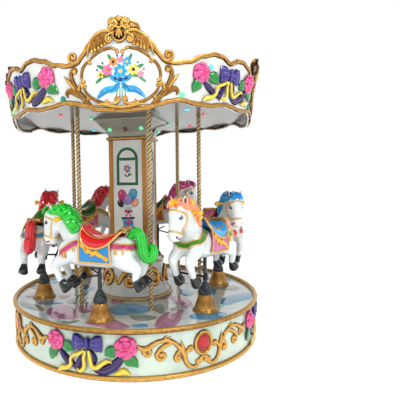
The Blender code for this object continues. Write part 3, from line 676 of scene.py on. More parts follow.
horse = {  # side-view tables: forward, up, half depth across the path, half width
    "trunk": ((0.281, 0.500, 0.040, 0.040), (0.250, 0.502, 0.088, 0.082), (0.200, 0.505, 0.112, 0.104),
              (0.120, 0.498, 0.113, 0.114), (0.000, 0.490, 0.104, 0.118), (-0.110, 0.495, 0.107, 0.120),
              (-0.200, 0.513, 0.108, 0.112), (-0.252, 0.520, 0.082, 0.086), (-0.282, 0.522, 0.035, 0.040)),
    "neck": ((0.145, 0.520, 0.110, 0.076), (0.198, 0.600, 0.096, 0.070), (0.250, 0.675, 0.086, 0.060),
             (0.292, 0.740, 0.074, 0.053), (0.322, 0.785, 0.044, 0.038)),
    "head": ((0.352, 0.795, 0.040, 0.036), (0.374, 0.752, 0.064, 0.052), (0.380, 0.705, 0.068, 0.056),
             (0.388, 0.655, 0.062, 0.050), (0.396, 0.610, 0.054, 0.043), (0.398, 0.578, 0.056, 0.046),
             (0.395, 0.552, 0.052, 0.046), (0.390, 0.532, 0.030, 0.030)),
    "cheek": ((0.352, 0.735, 0.030, 0.030), (0.345, 0.690, 0.050, 0.052), (0.352, 0.650, 0.046, 0.050),
              (0.366, 0.612, 0.026, 0.032)),
    "shoulder": ((0.150, 0.560, 0.040, 0.030), (0.200, 0.520, 0.072, 0.046), (0.240, 0.474, 0.066, 0.044),
                 (0.268, 0.446, 0.040, 0.030)),
    "haunch": ((-0.110, 0.540, 0.040, 0.030), (-0.170, 0.520, 0.086, 0.048), (-0.215, 0.475, 0.080, 0.046),
               (-0.260, 0.430, 0.046, 0.034)),
    "foreLeg": ((0.205, 0.480, 0.066, 0.046), (0.255, 0.440, 0.054, 0.044), (0.296, 0.412, 0.043, 0.039),
                (0.319, 0.394, 0.037, 0.036), (0.314, 0.362, 0.032, 0.032), (0.297, 0.326, 0.026, 0.027),
                (0.281, 0.296, 0.025, 0.026), (0.269, 0.276, 0.023, 0.024), (0.262, 0.264, 0.014, 0.015)),
    "hindLeg": ((-0.190, 0.480, 0.086, 0.050), (-0.247, 0.440, 0.064, 0.047), (-0.294, 0.416, 0.045, 0.038),
                (-0.313, 0.398, 0.037, 0.034), (-0.311, 0.370, 0.029, 0.030), (-0.304, 0.345, 0.026, 0.027),
                (-0.304, 0.327, 0.024, 0.025), (-0.310, 0.312, 0.014, 0.015)),
    "foreHoof": ((0.270, 0.276), (0.208, 0.212)),
    "hindHoof": ((-0.306, 0.326), (-0.356, 0.268)),
    "hoofShares": (-0.04, 0.0, 0.08, 0.3, 0.6, 0.80, 0.90, 0.97, 1.0),
    "hoofBlend": ((0.55, 0), (0.85, 0), (1, 0), (0.7, 0.3), (0.2, 0.8), (0, 1), (0, 0.96), (0, 0.80), (0, 0.45)),
    "hoofRadius": (0.027, 0.039),  # at the fetlock and at the sole; the blend gives the share of each
    "legOffset": 0.068, "legSplay": 0.004,
    "lumps": (((0.405, 0.036, 0.713), (0.026, 0.020, 0.018)),  # brow over the eye, and the nostril's swell
              ((0.424, 0.024, 0.563), (0.020, 0.018, 0.018))),
    "lip": ((0.378, 0, 0.540), (0.036, 0.034, 0.016)),
    "voxel": 0.0065, "smoothing": 7, "keepFaces": 0.45,
    "crest": ((0.428, 0.756), (0.408, 0.792), (0.360, 0.820), (0.290, 0.834), (0.222, 0.804), (0.172, 0.744),
              (0.142, 0.676), (0.136, 0.612)),
    "maneCore": ((0.406, 0.760, 0.022, 0.026), (0.364, 0.780, 0.034, 0.046), (0.302, 0.788, 0.042, 0.058),
                 (0.248, 0.757, 0.046, 0.064), (0.208, 0.704, 0.044, 0.068), (0.176, 0.650, 0.034, 0.066),
                 (0.158, 0.606, 0.012, 0.034)),
    "tail": ((-0.236, 0.612, 0.026, 0), (-0.266, 0.640, 0.033, 0), (-0.296, 0.644, 0.037, 0), (-0.318, 0.606, 0.040, 0),
             (-0.332, 0.548, 0.043, 0), (-0.352, 0.497, 0.046, 0), (-0.384, 0.478, 0.044, 0),
             (-0.408, 0.502, 0.036, 0), (-0.412, 0.540, 0.028, 0), (-0.394, 0.556, 0.018, 0),
             (-0.380, 0.542, 0.008, 0)),
}

# each pair below is a paint colour and the darker painted shade that its folds and hollows take
coats = (  # seat by seat from the front one: mane, saddle, blanket, strap, ear, and what goes round the chest
    {"mane": ("26cc3c", "088f22"), "saddle": ("e3202b", "a3101c"), "blanket": ("1291d2", "0b63a0"),
     "strap": ("c43f7c", "8c2254"), "ear": "c8407a", "collar": "strap"},
    {"mane": ("f3752c", "d8401c"), "saddle": ("18b0f4", "0f80c4"), "blanket": ("c9609a", "96386f"),
     "strap": ("4f8c1e", "2d5c10"), "ear": "8c2226", "collar": "round", "tips": ("ffc64a", "f9a57c")},
    {"mane": ("1ba6ea", "0c70b4"), "saddle": ("d84a9a", "9c2a70"), "blanket": ("c9609a", "96386f"),
     "strap": ("5a9a2a", "34661a"), "ear": "9c2432", "collar": "garland"},
    {"mane": ("e2559c", "9c2d86"), "saddle": ("26561c", "143a0e"), "blanket": ("a4562c", "70361a"),
     "strap": ("c43f7c", "8c2254"), "ear": "d01f5c", "collar": "strap"},
    {"mane": ("dd2636", "96101f"), "saddle": ("2b6b1e", "184410"), "blanket": ("c64f8c", "8c2c60"),
     "strap": ("c99a3a", "8c6420"), "ear": "c9a0cc", "collar": "round"},
    {"mane": ("dd2636", "96101f"), "saddle": ("2f7a2a", "1c4818"), "blanket": ("c77a2c", "8c4e18"),
     "strap": ("3f8aa6", "245c74"), "ear": "c79ad0", "collar": "strap"},
)


def limb(form, table, side=0.0, steps=18, sides=20, square=1.0, splay=0.0):
    line = smoothLine(table, steps)
    along = np.gradient(line[:, :2], axis=0)
    along /= np.linalg.norm(along, axis=1, keepdims=True)
    across = np.column_stack([-along[:, 1], np.zeros(steps), along[:, 0]])
    path = np.column_stack([line[:, 0], side + splay * np.linspace(0, 1, steps), line[:, 1]])
    angle = turns(sides)
    c = np.sign(np.cos(angle)) * np.abs(np.cos(angle)) ** square
    s = np.sign(np.sin(angle)) * np.abs(np.sin(angle)) ** square
    rings = path[:, None] + across[:, None] * line[:, 2, None, None] * c[None, :, None]
    rings[..., 1] += line[:, 3, None] * s[None]
    return form.loft(rings)


def ball(form, centre, size, turn=None, steps=8, sides=14, shading=1.0):
    t = np.linspace(0.04, 0.96, steps) * np.pi
    angle = turns(sides)
    unit = np.stack([np.outer(np.sin(t), np.cos(angle)), np.outer(np.sin(t), np.sin(angle)),
                     np.repeat(np.cos(t)[:, None], sides, 1)], -1)
    shaped = unit * np.asarray(size, float)
    if turn is not None:
        shaped = shaped @ np.asarray(turn.to_matrix()).T
    return form.loft(shaped + np.asarray(centre, float), shading)


def horseSkin():  # the whole moulding: limbs run together into one skin, then smoothed as the mould maker does
    form = Form()
    limb(form, horse["trunk"], steps=26, square=0.86)
    limb(form, horse["neck"], steps=18)
    limb(form, horse["head"], steps=20, square=0.92)
    for side in (-1, 1):
        for part, offset in (("cheek", 0.012), ("shoulder", 0.070), ("haunch", 0.074)):
            limb(form, horse[part], side * offset, 12 if part == "cheek" else 14)
        for part in ("foreLeg", "hindLeg"):
            limb(form, horse[part], side * horse["legOffset"], 24, splay=side * horse["legSplay"])
        for (x, y, z), size in horse["lumps"]:
            ball(form, (x, side * y, z), size)
    ball(form, *horse["lip"])
    obj = newObject("horseClay", form.mesh("horseClay"))
    remesh = obj.modifiers.new("Skin", "REMESH")
    remesh.mode = "VOXEL"
    remesh.voxel_size = horse["voxel"]
    smooth = obj.modifiers.new("Sand", "SMOOTH")
    smooth.factor = 0.5
    smooth.iterations = horse["smoothing"]
    thin = obj.modifiers.new("Thin", "DECIMATE")
    thin.ratio = horse["keepFaces"]
    mesh = applied(obj, "horseSkin")
    mesh.attributes.new("shading", "FLOAT", "POINT").data.foreach_set("value", np.ones(len(mesh.vertices), np.float32))
    return mesh


def surfaceOf(mesh):
    return BVHTree.FromPolygons([v.co for v in mesh.vertices], [p.vertices for p in mesh.polygons])


def onSurface(surface, guide, lift=0.0):  # a guide line laid on a surface, with the surface's normals
    places, normals = [], []
    for point in guide:
        place, normal, _, _ = surface.find_nearest(Vector(point))
        places.append(place + normal * lift)
        normals.append(normal)
    normals = np.array(normals)
    for _ in range(8):  # a strap doesn't follow every dimple
        normals[1:-1] = (normals[:-2] + normals[1:-1] * 2 + normals[2:]) / 4
    return np.array(places), normals / np.linalg.norm(normals, axis=1, keepdims=True)


# painted shade in the hollows of straps, locks and cloth
crestTone, foldTone = (0.4, 1.0), (0.3, 1.0)  # how far the hollows of straps and of cloth are darkened


def strap(surface, guide, count, width, thick, forms, edge=0.0, lift=0.0):
    # a flat strap on the body in forms[0], with raised edges in forms[1]
    places, normals = onSurface(surface, smoothLine(guide, count), lift)
    for _ in range(4):
        places[1:-1] = (places[:-2] + places[1:-1] * 2 + places[2:]) / 4
    lay(forms[0], places, width, thick, normals, crestTone, sides=12, under=1.2)
    if edge:
        along = np.gradient(places, axis=0)
        aside = np.cross(along / np.linalg.norm(along, axis=1, keepdims=True), normals)
        for sign in (-1, 1):
            lay(forms[1], places + aside * sign * width, edge, thick * 1.25, normals, crestTone, sides=8, under=1.6)
    return places, normals


hair = {  # wavy locks in rows over a soft core; a row: reach in from the crest, first and last place, locks
    "rows": ((0.002, 2, 56, 12), (0.030, 6, 56, 11), (0.060, 10, 52, 9)),
    "crestPoints": 60, "lockPoints": 14, "length": (0.062, 0.014), "bend": (0.010, 0.006), "seed": 11,
    "lock": (0.008, 0.0165), "forelock": (0.005, 0.011), "forelockGap": 0.013,
    "tailSteps": 60, "tailSides": 36, "grooves": 9, "grooveDepth": 0.16, "tailTwist": 1.2,
}


def tailForm(form):  # a bundle of hair: round with grooves along it
    steps, sides, deep = hair["tailSteps"], hair["tailSides"], hair["grooveDepth"]
    line = smoothLine(horse["tail"], steps)
    path = np.column_stack([line[:, 0], line[:, 3], line[:, 1]])
    along = np.gradient(path, axis=0)
    along /= np.linalg.norm(along, axis=1, keepdims=True)
    aside = np.cross(along, (0, 1, 0))
    aside /= np.linalg.norm(aside, axis=1, keepdims=True)
    over = np.cross(aside, along)
    angle = turns(sides)
    share = np.linspace(0, 1, steps)[:, None]
    wave = np.abs(np.sin(hair["grooves"] / 2 * (angle[None] + hair["tailTwist"] * share)))
    size = line[:, 2, None] * (1 - deep + deep * wave)
    rings = path[:, None] + aside[:, None] * (size * np.cos(angle))[..., None]
    # painted shade: darker in the grooves, lighter on the strands
    form.loft(rings + over[:, None] * (size * np.sin(angle))[..., None], 0.15 + 0.85 * wave)


def maneLock(form, core, start, way, length, bend, side, reach):  # one lock, laid over the core
    count = hair["lockPoints"]
    square = np.array((-way[1], way[0]))
    t = np.linspace(0, 1, count)[:, None]
    line = start + way * length * t + square * bend * np.sin(t * 2 * np.pi)
    y = side * (0.018 + 0.075 * min(1.0, (reach + 0.02) / 0.05))
    places, normals = onSurface(core, np.column_stack([line[:, 0], np.linspace(y * 0.5, y, count), line[:, 1]]))
    wide = swell(*hair["lock"], count, 0.6)
    lay(form, places, wide, wide * 1.05, normals, crestTone, sides=8, under=0.8)


def horseHair():
    form = Form()
    limb(form, horse["maneCore"], steps=26, sides=22)
    core = surfaceOf(form.mesh("maneCore"))
    # painted shade: the core under the locks kept darker
    form.tones = [tones * 0.45 for tones in form.tones]
    pick = np.random.default_rng(hair["seed"])
    end = hair["crestPoints"] - 1
    crest = smoothLine(horse["crest"], end + 1)
    inward = np.gradient(crest, axis=0)
    inward = np.column_stack([-inward[:, 1], inward[:, 0]])
    inward /= np.linalg.norm(inward, axis=1, keepdims=True)
    for side in (-1, 1):
        for row, (reach, first, last, many) in enumerate(hair["rows"]):
            for i in range(many):
                at = int(first + (last - first) * (i + 0.5 * (row % 2)) / many)
                back = crest[min(at + 3, end)] - crest[max(at - 3, 0)]
                back = back / np.linalg.norm(back)
                length = hair["length"][0] + hair["length"][1] * pick.random()
                bend = (hair["bend"][0] + hair["bend"][1] * pick.random()) * (1 if i % 2 else -1)
                way = back * 0.45 + inward[at] * 0.9
                way = way / np.linalg.norm(way)
                maneLock(form, core, crest[at] + inward[at] * reach, way, length, bend, side, reach)
    for k in range(-2, 3):  # short forelock between the ears
        y = k * hair["forelockGap"]
        guide = smoothLine([(0.366, y * 0.6, 0.814), (0.402, y, 0.812), (0.430, y * 1.3, 0.792),
                            (0.440, y * 1.7, 0.768 - 0.006 * abs(k))], hair["lockPoints"])
        wide = swell(*hair["forelock"], hair["lockPoints"], 0.6)
        lay(form, guide, wide, wide, (0.8, 0, 0.6), crestTone, sides=8, under=0.8)
    tailForm(form)
    return form


def hoofForm():
    form = Form()
    small, big = horse["hoofRadius"]
    angle = turns(24)
    for (x0, z0), (x1, z1) in (horse["foreHoof"], horse["hindHoof"]):
        for side in (-1, 1):
            y = side * (horse["legOffset"] + horse["legSplay"])
            start, way = np.array((x0, y, z0)), np.array((x1 - x0, 0, z1 - z0))
            square = np.cross(way / np.linalg.norm(way), (0, 1, 0))
            circle = np.outer(np.cos(angle), square) * 1.12 + np.outer(np.sin(angle), (0, 1, 0))
            form.loft([start + way * share + (small * a + big * b) * circle
                       for share, (a, b) in zip(horse["hoofShares"], horse["hoofBlend"])])
    return form


saddle = {  # forward, seat height, lower edge, half width of the skirt, half width of the seat
    "sections": ((0.108, 0.690, 0.668, 0.058, 0.050), (0.098, 0.674, 0.618, 0.098, 0.064),
                 (0.076, 0.650, 0.580, 0.121, 0.076), (0.036, 0.624, 0.553, 0.131, 0.088),
                 (-0.012, 0.609, 0.542, 0.133, 0.094), (-0.060, 0.609, 0.545, 0.132, 0.094),
                 (-0.106, 0.620, 0.564, 0.124, 0.086), (-0.144, 0.638, 0.597, 0.104, 0.074),
                 (-0.174, 0.656, 0.633, 0.076, 0.060)),
    "thick": 0.014, "rim": 0.0095, "seam": 0.004,
    "pommel": ((0.113, 0.0, 0.696), (0.112, 0.034, 0.690), (0.106, 0.064, 0.668)),  # where the rim starts
    "cantle": (-0.196, 0.058, 0.655),
    "roll": (-0.210, 0.660, 0.018, 0.052),  # curled top of the back: forward, up, radius, half width
    "rollStart": ((-0.164, 0.656), (-0.184, 0.673)), "rollSheet": 44, "rollBar": 0.0045,
    "blanket": ((0.114, 0.592), (0.124, 0.566), (0.1285, 0.532), (0.128, 0.500), (0.125, 0.466), (0.121, 0.438)),
    "blanketEnds": ((0.100, 0.102), (-0.130, -0.142)),  # front and back edge: forward at the top and at the bottom
    "blanketThick": 0.012, "border": 0.0075, "borderLift": 0.0015,
    "ribbon": ((0.086, 0.566), (0.062, 0.548), (0.040, 0.512), (0.014, 0.522), (-0.012, 0.500), (-0.040, 0.508),
               (-0.062, 0.486), (-0.092, 0.482), (-0.120, 0.460)),
    "bow": ((0.012, 0.522, 35), (-0.020, 0.508, -40), (-0.060, 0.498, 25)),  # leaves: forward, up, turn
}


def saddleShell():  # sections from front to back: right side out and in, then the left side the other way round
    rings = []
    for x, top, low, skirt, half in smoothLine(saddle["sections"], 34):
        outer = smoothLine([(skirt, low), (skirt * 0.985, low * 0.55 + top * 0.45), (half * 1.08, top - 0.006),
                            (half * 0.72, top + 0.003), (half * 0.3, top), (0, top - 0.001)], 12)
        inner = outer[::-1] * (0.86, 1) - (0, saddle["thick"])
        ring = np.vstack([outer, (outer * (-1, 1))[::-1][1:], (inner * (-1, 1))[::-1][:-1], inner[:-1]])
        rings.append(np.column_stack([np.full(len(ring), x), ring]))
    return Form().loft(rings)


def saddleTrim():  # gilt rim and seams, and the rolled back: a sheet wound up across the saddle
    rim = Form()
    for side in (-1, 1):
        edge = [(x, side * y, z) for x, y, z in saddle["pommel"]]
        edge += [(x, side * (skirt + 0.002), low) for x, _, low, skirt, _ in saddle["sections"][1:]]
        edge += [(saddle["cantle"][0], side * saddle["cantle"][1], saddle["cantle"][2])]
        lay(rim, smoothLine(edge, 70), saddle["rim"], saddle["rim"], (0, side, 0.4), foldTone, sides=12, under=1.0)
        seam = [(x, side * (half * 1.02), top - 0.001) for x, top, _, _, half in saddle["sections"]]
        lay(rim, smoothLine(seam, 50), saddle["seam"], saddle["seam"], shading=crestTone, sides=8, under=1.0)
    x, z, radius, half = saddle["roll"]
    spiral = np.vstack([smoothLine([*saddle["rollStart"], (x + 0.002, z + radius)], 10),
                        curl((x, z + radius), (x - 0.001, z), 1.35, 0.12, 40)[1:]])
    for side in (-1, 1):
        path = np.column_stack([spiral[:, 0], np.full(len(spiral), side * half * 0.97), spiral[:, 1]])
        lay(rim, path, saddle["rollBar"], saddle["rollBar"], (0, 1, 0), crestTone, sides=10, under=1.0)
    sheet = np.column_stack([spiral[:, 0], np.zeros(len(spiral)), spiral[:, 1]])[:saddle["rollSheet"]]
    upright = np.gradient(sheet, axis=0)[:, [2, 1, 0]] * (-1, 1, 1)
    lay(rim, sheet, half, 0.0040, upright, (0.55, 0.55), sides=20, under=1.0)
    return rim


def blanketForms(rim):  # the blanket; its border goes with the rim, and a ribbon with a bow lies along it
    blanket, ribbon = Form(), Form()
    (frontTop, frontLow), (backTop, backLow) = saddle["blanketEnds"]
    section = smoothLine(saddle["blanket"], 16)
    fall = (section[0, 1] - section[:, 1]) / (section[0, 1] - section[-1, 1])
    front = frontTop + (frontLow - frontTop) * fall
    back = backTop + (backLow - backTop) * fall
    wave = smoothLine(saddle["ribbon"], 50)
    for side in (-1, 1):
        rows = []
        for share in np.linspace(0, 1, 18):
            ripple = 0.0012 * np.sin(share * 9) * fall
            along = front * (1 - share) + back * share
            outer = np.column_stack([along, side * (section[:, 0] + ripple), section[:, 1]])
            rows.append(np.vstack([outer, (outer - (0, side * saddle["blanketThick"], 0))[::-1]]))
        blanket.loft(rows)
        hem = np.column_stack([np.linspace(frontLow, backLow, 18), np.tile(section[-1], (18, 1))])[1:-1]
        path = np.vstack([np.column_stack([front, section]), hem, np.column_stack([back, section])[::-1]])
        path[:, 1] = side * (path[:, 1] + saddle["borderLift"])
        lay(rim, smoothLine(path, 70), saddle["border"], 0.004, (0, side, 0), crestTone, sides=10, under=1.0)
        depth = np.interp(wave[:, 1], section[::-1, 1], section[::-1, 0])
        path = np.column_stack([wave[:, 0], side * (depth + 0.001), wave[:, 1]])
        wide = 0.012 + 0.005 * np.sin(np.linspace(0, 22, 50))
        lay(ribbon, path, wide, 0.007, (0, side, 0), foldTone, sides=12, under=0.8, folds=2)
        for cx, cz, turn in saddle["bow"]:
            leaf, a = swell(0.004, 0.015, 12, 0.8), math.radians(turn)
            y = side * (np.interp(cz, section[::-1, 1], section[::-1, 0]) + 0.002)
            line = [(cx + math.cos(a) * s, y, cz + math.sin(a) * s) for s in np.linspace(-0.036, 0.036, 12)]
            lay(ribbon, line, leaf, leaf * 0.6, (0, side, 0), foldTone, sides=10, under=0.6)
    return blanket, ribbon


harness = {  # lines from the horse's left side to its middle: forward, aside, up
    "chest": ((0.090, 0.120, 0.604), (0.145, 0.122, 0.570), (0.205, 0.112, 0.524), (0.252, 0.084, 0.487),
              (0.290, 0.040, 0.466), (0.300, 0.0, 0.460)),
    "roundChest": ((0.120, 0.110, 0.630), (0.190, 0.105, 0.568), (0.242, 0.085, 0.522), (0.284, 0.045, 0.498),
                   (0.292, 0.0, 0.492)),
    "rump": ((-0.100, 0.135, 0.572), (-0.170, 0.135, 0.568), (-0.240, 0.110, 0.564), (-0.290, 0.060, 0.560),
             (-0.310, 0.0, 0.560)),
    "bridle": (((0.448, 0.0, 0.748), (0.430, 0.045, 0.742), (0.385, 0.080, 0.730), (0.345, 0.080, 0.722)),
               ((0.347, 0.080, 0.726), (0.356, 0.080, 0.680), (0.366, 0.080, 0.635), (0.376, 0.070, 0.590)),
               ((0.470, 0.0, 0.604), (0.452, 0.040, 0.601), (0.400, 0.075, 0.592), (0.345, 0.060, 0.584),
                (0.325, 0.0, 0.580))),
    "bridleSteps": (24, 24, 30), "bridleSize": (0.0070, 0.0040),
    "rosette": (0.372, 0.08, 0.592), "rosetteSize": (0.010, 0.010, 0.006),
    "thick": 0.0045, "points": 60,
    "strap": (0.0195, 0.0055, 0.001), "round": (0.0185, 0.0055, 0.006),  # half width, edge, lift
    "rumpWidth": 0.0195, "rumpEdge": 0.006, "tasselDrop": 0.034, "tasselWidth": (0.009, 0.0175),
    "tasselDepth": (0.008, 0.0140), "tasselKnot": (0.010, 0.010, 0.008),
    "flowers": 15, "petals": 5, "petalReach": 0.013, "petal": (0.012, 0.012, 0.008), "heart": (0.008, 0.008, 0.008),
    "chestTassels": (6, 15, 44, 53), "rumpTassels": (8, 14, 20, 39, 45, 51),
}


def mirroredLine(half):  # carried on from the middle to the other side
    return [*half, *[(x, -y, z) for x, y, z in half[-2::-1]]]


def flowerGarland(form, surface, line):
    for k, (place, normal) in enumerate(zip(*onSurface(surface, smoothLine(line, harness["flowers"]), 0.010))):
        turn = Vector(normal).to_track_quat("Z", "Y")
        for petal in range(harness["petals"]):
            a = 2 * math.pi * petal / harness["petals"] + k
            reach = harness["petalReach"]
            aside = turn @ Vector((math.cos(a) * reach, math.sin(a) * reach, 0))
            ball(form, Vector(place) + aside, harness["petal"], turn, 6, 10, 0.8)
        ball(form, Vector(place) + turn @ Vector((0, 0, 0.005)), harness["heart"], turn, 6, 8, 0.3)


def hang(form, place, normal, drop):  # a short gold tassel below a strap
    root = Vector(place) + Vector(normal) * 0.003 + Vector((0, 0, -drop - 0.002))
    ball(form, root, harness["tasselKnot"], None, 6, 10, 0.7)
    path = [tuple(root + Vector((0, 0, -s))) for s in np.linspace(0, harness["tasselDrop"], 8)]
    wide, tall = ease(*harness["tasselWidth"], 8, 0.6), ease(*harness["tasselDepth"], 8, 0.6)
    lay(form, path, wide, tall, tuple(normal), foldTone, sides=14, under=0.9, folds=4)


def harnessForms(surface, collar):  # straps and their gold edges, bridle, and flowers if it wears a garland
    band, trim, bridle, flowers = Form(), Form(), Form(), Form()
    line = mirroredLine(harness["roundChest" if collar == "round" else "chest"])
    if collar == "garland":
        flowerGarland(flowers, surface, line)
    else:
        wide, edge, lift = harness[collar]
        places, normals = strap(surface, line, harness["points"], wide, harness["thick"], (band, trim), edge, lift)
        for at in harness["chestTassels"] if collar == "strap" else ():
            hang(trim, places[at], normals[at], wide)
    rump = mirroredLine(harness["rump"])
    wide, edge = harness["rumpWidth"], harness["rumpEdge"]
    places, normals = strap(surface, rump, harness["points"], wide, harness["thick"], (band, trim), edge)
    for at in harness["rumpTassels"]:
        hang(trim, places[at], normals[at], wide - 0.0005)
    for side in (-1, 1):
        for line, steps in zip(harness["bridle"], harness["bridleSteps"]):
            strap(surface, [(x, side * y, z) for x, y, z in line], steps, *harness["bridleSize"], (bridle,))
        x, y, z = harness["rosette"]
        rosette, normal, _, _ = surface.find_nearest(Vector((x, side * y, z)))
        ball(bridle, rosette, harness["rosetteSize"], normal.to_track_quat("Z", "Y"), 6, 12, 0.9)
    return band, trim, bridle, flowers


features = {  # forward and up on the side of the head; lines as points
    "eye": (0.409, 0.690), "eyeSize": (0.0155, 0.0100, 0.0050), "glintSize": (0.0022, 0.0022, 0.0015),
    "lash": ((0.392, 0.690), (0.400, 0.701), (0.412, 0.703), (0.424, 0.695)), "lashWidth": (0.0014, 0.0042),
    "nostril": (0.432, 0.562), "nostrilSize": (0.0105, 0.0075, 0.0035),
    "lips": ((0.436, 0.545), (0.415, 0.540), (0.392, 0.544), (0.368, 0.552)), "lipWidth": (0.0018, 0.0062),
    "ear": ((0.356, 0.036, 0.772), (0.364, 0.050, 0.798), (0.373, 0.058, 0.822), (0.378, 0.058, 0.842)),
    "earWidth": (0.012, 0.022), "earFacing": (0.55, 0.85, 0.0),
}


def faceForms(surface):  # eyes, lashes, nostrils and mouth, and the ears with their painted insides
    dark, light, red, ears, inner = Form(), Form(), Form(), Form(), Form()
    for side in (-1, 1):
        def spot(x, z):
            return surface.ray_cast(Vector((x, side * 0.3, z)), Vector((0, -side, 0)))[:2]

        def painted(form, key, width, count, aside, shading):  # a thin line on the skin
            line = [(x, side * aside, z) for x, z in smoothLine(features[key], count)]
            path, normals = onSurface(surface, line)
            lay(form, path, swell(*features[width], count), 0.0026, normals, (shading, shading), sides=8)

        place, normal = spot(*features["eye"])
        turn = normal.to_track_quat("Z", "Y")
        ball(dark, place, features["eyeSize"], turn, 8, 16, 0.8)
        ball(light, place + normal * 0.0038 + Vector((0.003, 0, 0.0025)), features["glintSize"], turn, 6, 8)
        painted(dark, "lash", "lashWidth", 14, 0.09, 0.2)
        place, normal = spot(*features["nostril"])
        ball(red, place, features["nostrilSize"], normal.to_track_quat("Z", "Y"), 6, 12, 0.2)
        painted(red, "lips", "lipWidth", 16, 0.07, 0.6)
        line = smoothLine([(x, side * y, z) for x, y, z in features["ear"]], 14)
        facing = np.array(features["earFacing"]) * (1, side, 1)
        wide = swell(*features["earWidth"], 14, 0.8) * ease(1.0, 0.35, 14, 3)
        lay(ears, line, wide, wide * 0.35, facing, (1.0, 1.0), sides=14, under=1.2)
        hollow = wide[2:-2]
        lay(inner, line[2:-2] + facing * 0.004, hollow * 0.62, hollow * 0.30, facing, (0.6, 0.6), sides=12)
    return dark, light, red, ears, inner


grip = {  # the hand bar: forward and up, then from its middle to a bead and a knob: aside, radius
    "place": (0.276, 0.728), "sides": 20, "steps": 30,
    "profile": ((0.0, 0.0102), (0.080, 0.0102), (0.086, 0.0125), (0.091, 0.0102), (0.098, 0.0100), (0.103, 0.0140),
                (0.110, 0.0185), (0.120, 0.0200), (0.130, 0.0180), (0.137, 0.0110), (0.139, 0.0030)),
}


def gripForm():
    x, z = grip["place"]
    half = smoothLine(grip["profile"], grip["steps"])
    whole = np.vstack([half[::-1] * (-1, 1), half[1:]])
    angle = turns(grip["sides"])
    return Form().loft([np.column_stack([x + r * np.cos(angle), np.full(len(angle), y), z + r * np.sin(angle)])
                        for y, r in whole], 0.8)


def seatPlace(seat):
    azimuth = machine["drumPhase"] + 360 / machine["seats"] * seat
    spot = around(azimuth, machine["horseCircle"], machine["deckTop"] + machine["horseLift"][seat])
    turned = Matrix.Rotation(math.radians(azimuth + 180 + machine["horseTurn"][seat]), 4, "Z")
    pivot = Matrix.Translation((0, 0, machine["pitchHeight"]))
    pitched = pivot @ Matrix.Rotation(-math.radians(machine["horsePitch"][seat]), 4, "Y") @ pivot.inverted()
    return Matrix.Translation(spot) @ turned @ pitched


sharedColours = {  # the same on every horse: name, colour, shade
    "dark": ("eyeEnamel", "23405c", "0a1018"), "glint": ("eyeGlintEnamel", "f6f8f8", "dfe6e8"),
    "lips": ("lipEnamel", "b8305c", "6e1230"), "ribbon": ("ribbonYellowEnamel", "f2b722", "c07a14"),
    "grip": ("handleYellowEnamel", "efc02a", "b98414"), "garland": ("garlandEnamel", "f0552c", "c22a1c"),
}


def buildHorses():
    skin = horseSkin()
    print("horse skin:", len(skin.polygons), "faces")
    surface = surfaceOf(skin)
    manes, hooves, handBar, seat, rim = horseHair(), hoofForm(), gripForm(), saddleShell(), saddleTrim()
    blanket, ribbon = blanketForms(rim)
    dark, light, red, ears, inner = faceForms(surface)
    shared = {key: enamel(*values) for key, values in sharedColours.items()}
    trimGold = antiqueGold("harnessGoldPaint", "7a4418", "c08a44", "e8c480")
    for k, coat in enumerate(coats):
        number = k + 1
        tag = f"horse_{number}"
        place = seatPlace(k)
        own = {key: enamel(f"{key}Enamel{number}", *coat[key]) for key in ("saddle", "blanket", "strap")}
        own["mane"] = enamel(f"maneEnamel{number}", *coat["mane"], tips=coat.get("tips", ()))
        own["ear"] = enamel(f"earEnamel{number}", coat["ear"], coat["ear"])
        band, trim, bridle, flowers = harnessForms(surface, coat["collar"])

        def part(name, shape, material, slot="horse_gelcoat", replaces=()):
            mesh = shape.mesh(name) if isinstance(shape, Form) else shape.copy()
            mesh.transform(place)
            piece(name, mesh, material, f"seat_{number}", slot, replaces)

        part(f"{tag}_body", skin, bodyWhite, replaces=[tag])
        for name, form, material in (
                ("hair", manes, own["mane"]), ("hooves", hooves, hoofBlack), ("saddle", seat, own["saddle"]),
                ("saddle_rim", rim, trimGold), ("blanket", blanket, own["blanket"]),
                ("ribbon", ribbon, shared["ribbon"]), ("straps", band, own["strap"]), ("strap_trim", trim, trimGold),
                ("bridle", bridle, trimGold), ("garland", flowers, shared["garland"]), ("eyes", dark, shared["dark"]),
                ("eye_glints", light, shared["glint"]), ("lips", red, shared["lips"]), ("ears", ears, bodyWhite),
                ("ear_insides", inner, own["ear"])):
            if form.count:
                part(f"{tag}_{name}", form, material)
        part(f"handle_{number}_bar", handBar, shared["grip"], "handle_paint", [f"handle_{number}"])
        repaint(f"rod_{number}", blackSteel)


buildHorses()
print("horses built")


# Bells and boots that guide the rods


guides = {
    "bell": ((0.0155, 0.128), (0.044, 0.128), (0.049, 0.124), (0.0530, 0.112), (0.059, 0.094), (0.0655, 0.074),
             (0.0715, 0.056), (0.0765, 0.040), (0.080, 0.028), (0.087, 0.018), (0.095, 0.011), (0.098, 0.005),
             (0.097, 0.0003), (0.0155, 0.0003)),
    "bellSides": 112, "bellRibs": 22, "bellRibDepth": 0.003,
    "boot": ((0.0155, 0.088), (0.019, 0.088), (0.024, 0.083), (0.023, 0.077), (0.032, 0.068), (0.031, 0.061),
             (0.040, 0.051), (0.038, 0.043), (0.046, 0.032), (0.045, 0.024), (0.050, 0.012), (0.050, 0.002),
             (0.047, 0.0003), (0.0155, 0.0003)),
    "bootSides": 56, "bootSeat": 0.1286, "creases": (3, 5, 8, 11), "creaseDepth": 0.03, "seed": 5,
}


